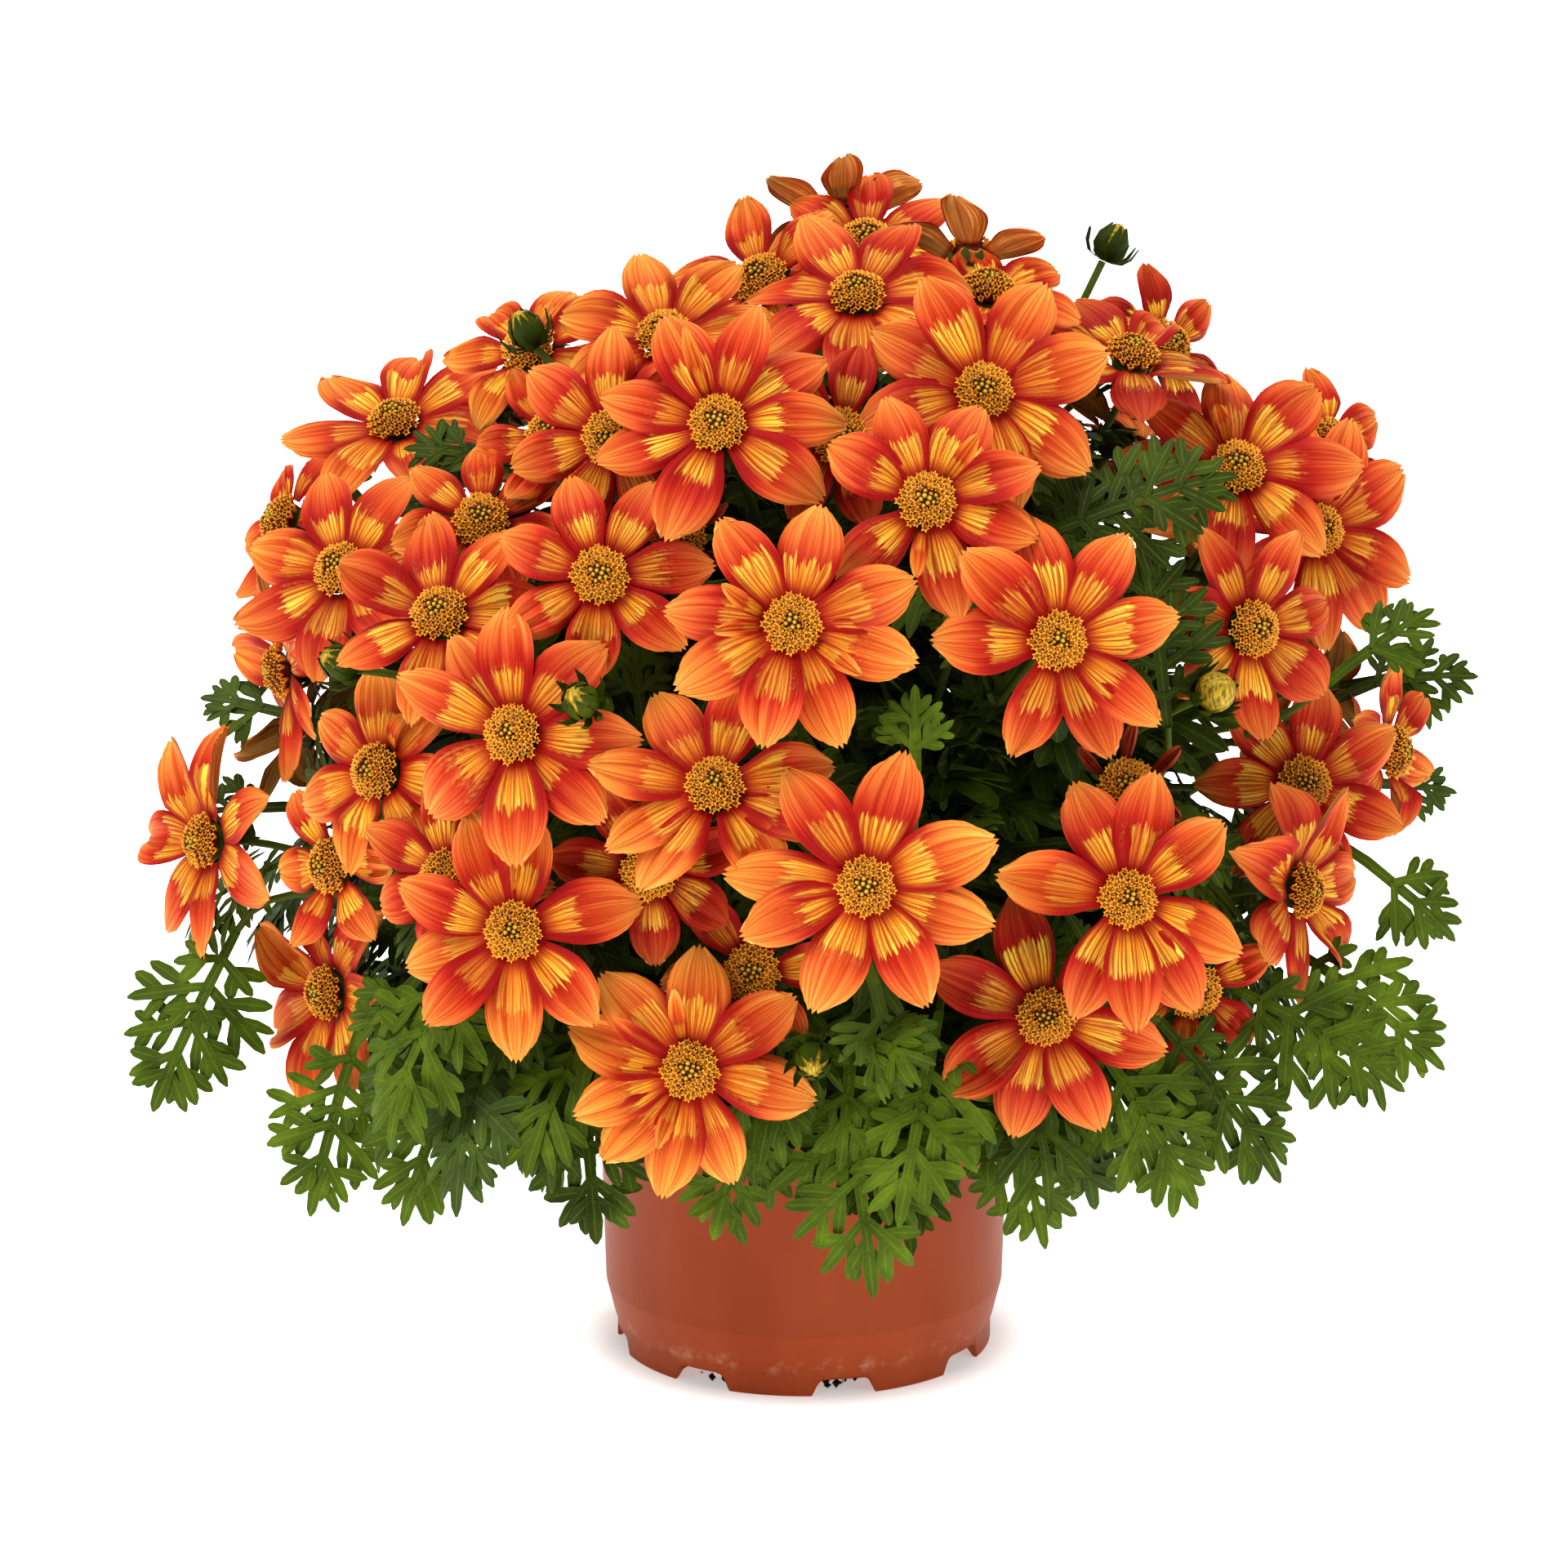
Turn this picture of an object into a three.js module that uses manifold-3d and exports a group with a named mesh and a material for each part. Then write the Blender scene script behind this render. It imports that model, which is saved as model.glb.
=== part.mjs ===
// A potted bidens: a rounded bush of orange blooms on leafy stems, growing in a thin plastic
// nursery pot of soil. Millimetres, +Z up. The origin is on the pot's axis, at the surface that
// the pot stands on, and the front of the plant faces -Y.
import * as THREE from "three";
import { mergeVertices } from "three/addons/utils/BufferGeometryUtils.js";
import Module from "manifold-3d";

const V = (x, y, z) => new THREE.Vector3(x, y, z);
const rad = THREE.MathUtils.degToRad;
const wasm = await Module();
wasm.setup();

// Driving dimensions

const POT = {
  height: 80,
  rimRadius: 53,
  rimBand: 11,
  rimStep: 1.8,
  bellyRadius: 49.4,
  bellyHeight: 16,
  lipRadius: 47.2,
  lipHeight: 7.2,
  footRadius: 46.6,
  wall: 1.2,
  floor: 3.6,
  sides: 24,
};
const NOTCH = { count: 8, width: 17, slope: 2.6, height: 4.4, firstAt: rad(12) };
const SOIL = { top: 66, crown: 4, gap: 0.4, sides: 24, holeDepth: 8 };
const DOME = { centreHeight: 150, radius: 130, rise: 126 };
const HEART = V(0, 0, 120);
const SURVEY = { centre: V(-5, 0, 142), distance: 1500, elevation: rad(14.5) };
const DISC = { radius: 6.8, rise: 4 };
// length and fall are the least share and the further share that a draw adds. stagger and tumble
// lift a petal by degrees: in and out by turns, and at random.
const PETAL = {
  thickness: 1.2,
  widestAt: 0.5,
  tipShare: 0.18,
  ridgeAt: 0.5,
  widestAngle: rad(24),
  seam: rad(0.8),
  length: [0.93, 0.07],
  fall: [0.1, 0.16],
  stagger: 4,
  tumble: 8,
};
const STEM = { root: 2.2, fork: 1.6, peduncle: 1 };
const INVOLUCRE = { radius: 4.4, height: 7 };
const BUD = { swell: 5, tip: 10, radius: 3.6, tipRadius: 1.4 };
const LEAF = { thickness: 1.2, lobeHalfWidth: 3.3, webHalfWidth: 1.5, sinus: 3.5, rise: 0.2, roll: 0.5 };
const GAP = 0.3;

// Repeatable draws between 0 and 1

function draws(seed) {
  let state = seed * 7919 + 12345;
  return () => {
    state = (state * 16807) % 2147483647;
    return state / 2147483647;
  };
}

// Closed solids

function solidOf(geometry) {
  const bare = new THREE.BufferGeometry();
  bare.setAttribute("position", geometry.getAttribute("position"));
  bare.setIndex(geometry.index);
  const merged = mergeVertices(bare, 1e-4);
  return new wasm.Manifold(
    new wasm.Mesh({
      numProp: 3,
      vertProperties: new Float32Array(merged.attributes.position.array),
      triVerts: new Uint32Array(merged.index.array),
    }),
  );
}

function faceted(points, faces) {
  const geometry = new THREE.BufferGeometry().setFromPoints(points);
  return solidOf(geometry.setIndex(faces.flat()));
}

function joined(solids) {
  return solids.reduce((all, one) => all.add(one));
}

function meshOf(solid, name, material) {
  const { vertProperties, triVerts } = solid.getMesh();
  const geometry = new THREE.BufferGeometry();
  geometry.setAttribute("position", new THREE.BufferAttribute(vertProperties, 3));
  geometry.setIndex([...triVerts]);
  geometry.computeVertexNormals();
  const mesh = new THREE.Mesh(geometry, material);
  mesh.name = name;
  return mesh;
}

function crosses(solid, others, least = 1e-6) {
  const a = solid.boundingBox();
  return others.some((other) => {
    const b = other.boundingBox();
    const apart = [0, 1, 2].some((k) => a.min[k] > b.max[k] || b.min[k] > a.max[k]);
    return !apart && solid.intersect(other).volume() > least;
  });
}

function moved(solid, shift) {
  return solid.translate(shift.toArray());
}

// The viewpoint from which the front of the bush is surveyed

const toViewer = V(0, -Math.cos(SURVEY.elevation), Math.sin(SURVEY.elevation));
const upInView = V(0, Math.sin(SURVEY.elevation), Math.cos(SURVEY.elevation));
const eye = SURVEY.centre.clone().addScaledVector(toViewer, SURVEY.distance);

// Where the sight line through (across, up) meets the dome of blooms. A line that passes beside
// the dome stops where it comes nearest to it. proud moves the point towards the viewer.
function onDome(across, up, proud) {
  const point = SURVEY.centre.clone().add(V(across, 0, 0)).addScaledVector(upInView, up);
  const sight = eye.clone().sub(point).normalize();
  const squash = V(1 / DOME.radius, 1 / DOME.radius, 1 / DOME.rise);
  const from = point.clone().sub(V(0, 0, DOME.centreHeight)).multiply(squash);
  const along = sight.clone().multiply(squash);
  const half = from.dot(along) / along.lengthSq();
  const rest = half * half - (from.lengthSq() - 1) / along.lengthSq();
  point.addScaledVector(sight, Math.sqrt(Math.max(rest, 0)) - half + proud);
  return { point, sight };
}

function facing(yaw, pitch) {
  return V(Math.sin(rad(yaw)) * Math.cos(rad(pitch)), 0, 0)
    .addScaledVector(upInView, Math.sin(rad(pitch)))
    .addScaledVector(toViewer, Math.cos(rad(yaw)) * Math.cos(rad(pitch)));
}

// A bloom: petals round a domed disc. tips holds the direction of each petal, in degrees
// clockwise from the top of the bloom.

const ring = (count, first) => Array.from({ length: count }, (_, i) => first + (i * 360) / count);

function frameOf(faces) {
  const top = (Math.abs(faces.z) > 0.98 ? V(0, 1, 0) : V(0, 0, 1)).projectOnPlane(faces);
  top.normalize();
  return new THREE.Matrix4().makeBasis(top.clone().cross(faces), top, faces);
}

function bloomSolid({ faces, span, tips, cup }, seed) {
  const draw = draws(seed);
  const count = tips.length;
  const turns = tips.map(rad);
  const gapAfter = turns.map((turn, i) => (turns[i + 1] ?? turns[0] + 2 * Math.PI) - turn);
  const points = [];
  const triangles = [];
  const add = (radius, turn, height) =>
    points.push(V(radius * Math.sin(turn), radius * Math.cos(turn), height)) - 1;
  const half = PETAL.thickness / 2;
  const edgeTurn = turns.map((turn, i) => turn + gapAfter[i] / 2);
  const rimTop = edgeTurn.map((turn) => add(DISC.radius, turn, half));
  const rimUnder = edgeTurn.map((turn) => add(DISC.radius, turn, -half));
  const crown = add(0, 0, DISC.rise);
  turns.forEach((turn, i) => {
    const before = (i + count - 1) % count;
    const length = (span / 2) * (PETAL.length[0] + PETAL.length[1] * draw());
    const stagger = i % 2 ? PETAL.stagger : -PETAL.stagger;
    const rise = rad(cup + stagger + PETAL.tumble * (draw() - 0.5));
    const fall = (span / 2) * (PETAL.fall[0] + PETAL.fall[1] * draw());
    const spread = Math.min(gapAfter[before] / 2, gapAfter[i] / 2, PETAL.widestAngle) - PETAL.seam;
    const at = (share, sway, lift) => {
      const run = DISC.radius + (length - DISC.radius) * share;
      const height = Math.tan(rise) * (run - DISC.radius) - fall * share * share;
      return add(run, turn + sway, height + lift);
    };
    const outline = [
      rimTop[before],
      at(PETAL.widestAt, -spread, 0),
      at(1, -spread * PETAL.tipShare, 0),
      at(1, spread * PETAL.tipShare, 0),
      at(PETAL.widestAt, spread, 0),
      rimTop[i],
    ];
    const under = [rimUnder[before], ...outline.slice(1, 5), rimUnder[i]];
    const ridge = at(PETAL.ridgeAt, 0, half);
    const keel = at(PETAL.ridgeAt, 0, -half);
    outline.forEach((point, k) => triangles.push([ridge, outline[(k + 1) % 6], point]));
    under.forEach((point, k) => triangles.push([keel, point, under[(k + 1) % 6]]));
    triangles.push([rimTop[before], outline[1], rimUnder[before]]);
    triangles.push([rimTop[i], rimUnder[i], outline[4]]);
    triangles.push([rimTop[i], rimTop[before], crown]);
  });
  for (let i = 1; i < count - 1; i++) triangles.push([rimUnder[0], rimUnder[i], rimUnder[i + 1]]);
  const turnTo = frameOf(faces);
  return faceted(points.map((point) => point.applyMatrix4(turnTo)), triangles);
}

// The blooms on the front of the bush, nearest first. across and up say where the disc shows from
// the viewpoint, in mm from the survey's centre. yaw and pitch say how far the bloom turns to the
// right and up, in degrees. span is its width over the petals, cup is how far they rise, and proud
// moves it off the dome. The blooms of one inner list grow through each other.

const seen = (across, up, yaw, pitch, span, tips, cup = 8, proud = 0) => ({
  ...onDome(across, up, proud),
  faces: facing(yaw, pitch),
  span,
  tips,
  cup,
});

const FRONT = [
  [seen(20, -25, 0, 0, 65, [14, 67, 111, 149, 200, 251, 277, 328], 6, 8)],
  [seen(2, 39, 0, 5, 62, [-34, 14, 72, 109, 157, 197, 240, 278], 6, 6)],
  [seen(67, 35, 5, 0, 61, [-10, 33, 82, 129, 156, 199, 270, 316], 6, 6)],
  [seen(-66, -36, -5, 0, 61, [-26, 10, 72, 134, 179, 220, 250, 287], 6, 6)],
  [seen(84, -28, 5, 0, 62, [-22, 13, 55, 115, 149, 179, 206, 284], 6, 6)],
  [seen(-23, -70, 0, 0, 61, [-40, 8, 55, 102, 159, 190, 222, 250, 285], 4, 6)],
  [seen(-66, 12, -15, 5, 62, [-43, -9, 36, 90, 130, 170, 231, 292], 8, 2)],
  [seen(-16, 88, -5, 10, 61, [-27, 14, 52, 86, 127, 200, 253, 283], 8, 4)],
  [seen(49, 96, 0, 10, 63, [-61, -26, 27, 74, 124, 165, 210, 255], 8, 4)],
  [seen(35, 69, 0, 8, 57, [-21, 27, 68, 110, 164, 228, 300], 8, 8)],
  [seen(130, 62, 18, 5, 62, [-9, 29, 66, 116, 147, 184, 240, 295], 8)],
  [seen(-17, -1, 0, 20, 60, [-32, 15, 77, 113, 149, 212, 241, 280], 10)],
  [seen(111, 77, 0, 20, 62, [-5, 39, 85, 135, 190, 235, 276, 310], 8)],
  [seen(18, 119, -5, 40, 59, ring(7, -28), 10)],
  [seen(64, -57, 0, 0, 61, [-17, 45, 106, 157, 196, 236, 293], 6, -6)],
  [seen(126, -26, 55, 0, 60, ring(7, -10), 16)],
  [seen(-141, -14, -52, 0, 60, ring(7, 5), 16)],
  [seen(-111, -51, -50, -5, 60, ring(7, -20), 16)],
  [seen(-95, 88, -15, 45, 60, ring(7, -9), 10)],
  [seen(-84, 41, -10, 25, 56, ring(7, -19), 8)],
  [seen(-108, 52, -25, 20, 60, ring(7, -30), 10)],
  [seen(85, 104, 20, 55, 54, ring(7, 0), 14)],
  [seen(127, 0, 10, 5, 56, ring(7, 15), 8, -16)],
  [seen(114, 38, 30, 0, 54, ring(7, -20), 10)],
  [seen(50, 120, 10, 60, 48, ring(7, 10), 16), seen(46, 128, 160, 50, 46, ring(6, 0), 14, 0)],
  [seen(-45, 51, 0, 5, 54, ring(7, -20), 8, -6)],
  [seen(-82, -23, -30, -5, 50, ring(7, -15), 8, -8)],
  [seen(-99, 3, -35, 5, 54, ring(7, -15), 10, -6)],
  [seen(-42, 85, -10, -10, 54, ring(7, -5), 6, -6)],
  [seen(-29, 109, -5, 25, 56, ring(7, -18), 8, -8)],
  [seen(-33, -21, 0, -10, 48, ring(7, 20), 6, -12)],
  [seen(14, 85, 0, 5, 46, ring(7, 10), 8, -14)],
  [seen(20, 132, 0, 35, 52, ring(7, 5), 10, -8), seen(14, 139, 180, 50, 46, ring(6, 0), 10, 0)],
  [seen(-5, 123, -20, 25, 50, ring(6, -30), 12, -14)],
  [seen(100, -50, 10, -10, 42, ring(6, 10), 10, -14)],
  [seen(-122, 28, -75, -10, 56, ring(7, 10), 12, -6)],
  [seen(148, 8, 60, 0, 46, ring(6, 0), 12, -10)],
  [seen(93, 107, 40, 20, 46, ring(6, 10), 12, -26)],
  [seen(133, 83, 40, 20, 46, ring(6, 20), 12, -16)],
  [seen(-8, -46, 0, 0, 46, ring(6, 25), 8, -16)],
  [seen(-122, 64, -60, 20, 46, ring(6, 0), 8, -10)],
  [seen(-110, -20, -45, 0, 46, ring(6, 15), 10, -12)],
  [seen(-62, 106, -20, 30, 46, ring(7, 0), 10, -10)],
  [seen(-74, 64, 0, 20, 46, ring(7, 0), 8, -14), seen(-56, 85, -10, 20, 42, ring(6, 20), 8, -4)],
  [seen(84, -1, 0, 10, 30, ring(6, 0), 50, -10)],
  [seen(-26, 60, 0, 10, 28, ring(6, 0), 50, -8)],
];

// The blooms behind stand in sprays of three, in rows round the back of the dome. A row's turns are
// measured from the front towards the right and its lift from level, in degrees.

const BACK_ROWS = [
  { lift: 2, turns: [114, 154, 206, 246] },
  { lift: 40, turns: [130, 182, 234] },
];
const SPRAY = { spread: rad(9.6), splay: 0.15, span: 55, cup: 9 };

function outward(turn, lift) {
  return V(Math.sin(turn) * Math.cos(lift), -Math.cos(turn) * Math.cos(lift), Math.sin(lift));
}

function spray(turn, lift, draw) {
  const middle = outward(turn, lift);
  const side = V(0, 0, 1).cross(middle).normalize();
  const top = middle.clone().cross(side);
  return ring(3, 120 * draw()).map((around) => {
    const out = middle.clone();
    out.addScaledVector(side, Math.tan(SPRAY.spread) * Math.sin(rad(around)));
    out.addScaledVector(top, Math.tan(SPRAY.spread) * Math.cos(rad(around))).normalize();
    const point = out.clone().multiply(V(DOME.radius, DOME.radius, DOME.rise));
    const faces = middle.clone().lerp(out, SPRAY.splay).add(V(0, 0, 0.25)).normalize();
    return {
      point: point.add(V(0, 0, DOME.centreHeight)),
      sight: out,
      faces,
      span: SPRAY.span + 6 * draw(),
      tips: ring(6, 60 * draw()),
      cup: SPRAY.cup,
    };
  });
}

const backDraw = draws(3);
const BACK = BACK_ROWS.flatMap(({ lift, turns }) =>
  turns.map((turn) => spray(rad(turn), rad(lift), backDraw)),
);

// The later blooms of a bunch go back along their line of sight until they cross the first, or come
// forward until they do if they face away. Where petals of two bunches would cross, the bunch
// further down the list goes back until it is clear.

const SLIDE = { step: 1, inFront: 24, behind: 50, most: 90, spare: 0.5 };

function grownTogether(bunch, number) {
  const solids = [];
  bunch.forEach((bloom, i) => {
    const still = bloomSolid(bloom, number * 10 + i);
    const facesAway = bloom.faces.dot(bloom.sight) < 0;
    bloom.place = bloom.point.clone();
    if (i) bloom.place.addScaledVector(bloom.sight, facesAway ? -SLIDE.behind : SLIDE.inFront);
    let solid = moved(still, bloom.place);
    for (let tries = 0; i && !crosses(solid, solids, 1) && tries < SLIDE.most; tries++) {
      bloom.place.addScaledVector(bloom.sight, facesAway ? SLIDE.step : -SLIDE.step);
      solid = moved(still, bloom.place);
    }
    solids.push(solid);
  });
  return joined(solids);
}

function settled(bunch, number, others) {
  const grown = grownTogether(bunch, number);
  const { sight } = bunch[0];
  const back = (slide) => sight.clone().multiplyScalar(-slide);
  for (let slide = 0; slide < SLIDE.most; slide += SLIDE.step) {
    const spares = [-SLIDE.spare, 0, SLIDE.spare];
    if (spares.some((spare) => crosses(moved(grown, back(slide + spare)), others))) continue;
    bunch.forEach((bloom) => bloom.place.add(back(slide)));
    return moved(grown, back(slide));
  }
  throw new Error(`bunch ${number} finds no clear place`);
}

const BUNCHES = [...FRONT, ...BACK];
const blooms = [];
BUNCHES.forEach((bunch, i) => blooms.push(settled(bunch, i + 1, blooms)));

// Stems

function tube(points, radii, sides) {
  const vertices = [];
  const triangles = [];
  const last = points.length - 1;
  const normal = V(0.3, 0.5, 0.8);
  points.forEach((point, i) => {
    const ahead = points[Math.min(i + 1, last)].clone().sub(points[Math.max(i - 1, 0)]).normalize();
    normal.projectOnPlane(ahead).normalize();
    const side = ahead.clone().cross(normal);
    for (let k = 0; k < sides; k++) {
      const turn = (2 * Math.PI * k) / sides;
      const corner = point.clone().addScaledVector(normal, radii[i] * Math.cos(turn));
      vertices.push(corner.addScaledVector(side, radii[i] * Math.sin(turn)));
    }
  });
  const at = (i, k) => i * sides + (k % sides);
  for (let k = 0; k < sides; k++) {
    for (let i = 0; i < last; i++) {
      triangles.push([at(i, k), at(i, k + 1), at(i + 1, k + 1)]);
      triangles.push([at(i, k), at(i + 1, k + 1), at(i + 1, k)]);
    }
    if (k > 0 && k < sides - 1) {
      triangles.push([at(0, 0), at(0, k + 1), at(0, k)]);
      triangles.push([at(last, 0), at(last, k), at(last, k + 1)]);
    }
  }
  return faceted(vertices, triangles);
}

// A curve that leaves its start along one direction and reaches its end along another. sway bends
// it aside on the way.
function curve(start, leaving, end, arriving, sway = V(0, 0, 0)) {
  const length = start.distanceTo(end);
  const first = start.clone().addScaledVector(leaving, length * 0.35).add(sway);
  const second = end.clone().addScaledVector(arriving, -length * 0.3).addScaledVector(sway, 0.6);
  return new THREE.CubicBezierCurve3(start, first, second, end);
}

// Ways to bend a stalk round what stands in its path, the straightest first
const SWAY = { reaches: [5, 10, 16, 23, 31, 42], directions: 8 };

function sways(along) {
  const side = (Math.abs(along.z) > 0.9 ? V(1, 0, 0) : V(0, 0, 1)).cross(along).normalize();
  const top = along.clone().cross(side);
  const bends = SWAY.reaches.flatMap((reach) =>
    ring(SWAY.directions, 0).map((around) => {
      const aside = side.clone().multiplyScalar(reach * Math.cos(rad(around)));
      return aside.addScaledVector(top, reach * Math.sin(rad(around)));
    }),
  );
  return [V(0, 0, 0), ...bends];
}

// The five plants in the pot. Each stands in a hole in the soil. Its leafy stems, given as
// [turn, lift] from the heart of the bush, spring from the top of its short main stem and run
// through a core of crowded inner leaves round its middle.

const PLANTS = [
  { root: V(0, 2, 0), middle: [0, 90], stems: [[0, 62], [120, 62], [240, 62]] },
  { root: V(16, -16, 0), middle: [45, 8], stems: [[22, -6], [66, -6], [22, 26], [66, 26]] },
  { root: V(16, 16, 0), middle: [135, 8], stems: [[112, -6], [156, -6], [112, 26], [156, 26]] },
  { root: V(-16, 16, 0), middle: [225, 8], stems: [[204, -6], [248, -6], [204, 26], [248, 26]] },
  { root: V(-16, -16, 0), middle: [315, 8], stems: [[294, -6], [338, -6], [294, 26], [338, 26]] },
];
const CORE = { reach: 54, height: 6, radius: 34, ripple: 0.1, ripples: V(0.19, 0.23, 0.21) };
const LEAFY_STEM = { share: 0.5, steps: 4, thinning: 0.85, overlap: 1.5 };
const FORKS = { first: 0.04, step: 0.2, lowest: 1.2, choices: 4 };
const COLLAR = SOIL.top + SOIL.crown + 6;

// Every green piece, with the plant that it belongs to
const greens = [];

// The core is a ball whose surface ripples

function coreSolid([turn, lift]) {
  const core = new THREE.IcosahedronGeometry(CORE.radius, 1);
  const corners = core.getAttribute("position");
  for (let i = 0; i < corners.count; i++) {
    const corner = V(0, 0, 0).fromBufferAttribute(corners, i);
    const { x, y, z } = corner.clone().multiply(CORE.ripples);
    corner.multiplyScalar(1 + CORE.ripple * Math.sin(x + turn) * Math.cos(y) * Math.sin(z));
    corners.setXYZ(i, corner.x, corner.y, corner.z);
  }
  const middle = outward(rad(turn), rad(lift)).multiplyScalar(CORE.reach).add(HEART);
  return moved(solidOf(core), middle.add(V(0, 0, CORE.height)));
}

const stems = PLANTS.flatMap(({ root, middle, stems: ways }, plant) => {
  greens.push({ plant, solid: coreSolid(middle) });
  const foot = root.clone().setZ(SOIL.top - SOIL.holeDepth + 1);
  const collar = root.clone().setZ(COLLAR);
  greens.push({ plant, solid: tube([foot, collar], [STEM.root, STEM.root], 4) });
  return ways.map(([turn, lift]) => {
    const out = outward(rad(turn), rad(lift));
    const fork = out.clone().multiply(V(DOME.radius, DOME.radius, DOME.rise));
    fork.multiplyScalar(LEAFY_STEM.share).add(HEART);
    const base = collar.clone().setZ(COLLAR - LEAFY_STEM.overlap);
    const points = curve(base, V(0, 0, 1), fork, out).getPoints(LEAFY_STEM.steps);
    const radii = points.map((_, i) =>
      THREE.MathUtils.lerp(STEM.root * LEAFY_STEM.thinning, STEM.fork, i / LEAFY_STEM.steps),
    );
    greens.push({ plant, solid: tube(points, radii, 4) });
    return { plant, out, points, stalks: 0 };
  });
});

function nearestStems(point) {
  const out = point.clone().sub(HEART).normalize();
  return [...stems].sort((a, b) => b.out.dot(out) - a.out.dot(out)).slice(0, FORKS.choices);
}

// Where the next stalk leaves a stem: the first one at its end, and each later one lower down
function nextFork({ points, stalks }) {
  const last = points.length - 1;
  const down = Math.min(FORKS.first + FORKS.step * stalks, last - FORKS.lowest);
  const i = Math.floor(last - down);
  return points[i].clone().lerp(points[i + 1], last - down - i);
}

function clearFor(solid, plant) {
  const others = greens.filter((green) => green.plant !== plant).map((green) => green.solid);
  return !crosses(solid, [...blooms, ...others]);
}

// The straightest way from a nearby stem to an end, on which what is built along it crosses nothing
// that belongs to others
function grow(end, arriving, build) {
  for (const stem of nearestStems(end)) {
    const fork = nextFork(stem);
    const ahead = end.clone().sub(fork).normalize();
    for (const sway of sways(ahead)) {
      const path = curve(fork, ahead.clone().add(stem.out).normalize(), end, arriving, sway);
      const solid = build(path.getPoints(2));
      if (!clearFor(solid, stem.plant)) continue;
      greens.push({ plant: stem.plant, solid });
      stem.stalks += 1;
      return true;
    }
  }
  return false;
}

// A flower stalk opens into the green cup that holds the bloom
function peduncle({ place, faces }) {
  const behind = (distance) => place.clone().addScaledVector(faces, -distance);
  const top = PETAL.thickness / 2 + GAP;
  const thin = STEM.peduncle;
  const radii = [thin, thin, thin, INVOLUCRE.radius];
  const build = (points) => tube([...points, behind(top)], radii, 3);
  if (!grow(behind(top + INVOLUCRE.height), faces, build)) throw new Error("no way for a peduncle");
}

// A bud is closed, on a stalk like a bloom's
function bud(across, up, proud) {
  const { point } = onDome(across, up, proud);
  const faces = point.clone().sub(HEART).normalize();
  const ahead = (distance) => point.clone().addScaledVector(faces, distance);
  const thin = STEM.peduncle;
  const radii = [thin, thin, thin, BUD.radius, BUD.tipRadius];
  const build = (points) => tube([...points, ahead(BUD.swell), ahead(BUD.tip)], radii, 3);
  if (!grow(point, faces, build)) throw new Error("no way for a bud");
}

BUNCHES.flat().forEach(peduncle);

const BUDS = [
  [78, 128, 0],
  [102, 21, -6],
  [-48, 19, 0],
  [7, -66, 0],
  [-105, 28, 6],
  [-61, 107, 4],
];
BUDS.forEach((place) => bud(...place));

// A leaf: one thin arched blade cut to the rib into pairs of lobes and one at the tip. along is
// where a pair leaves the rib and length is its reach, both as shares of the leaf's length.

const LOBES = [
  { along: 0.32, angle: rad(60), length: 0.42 },
  { along: 0.52, angle: rad(54), length: 0.36 },
  { along: 0.69, angle: rad(44), length: 0.27 },
];

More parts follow.
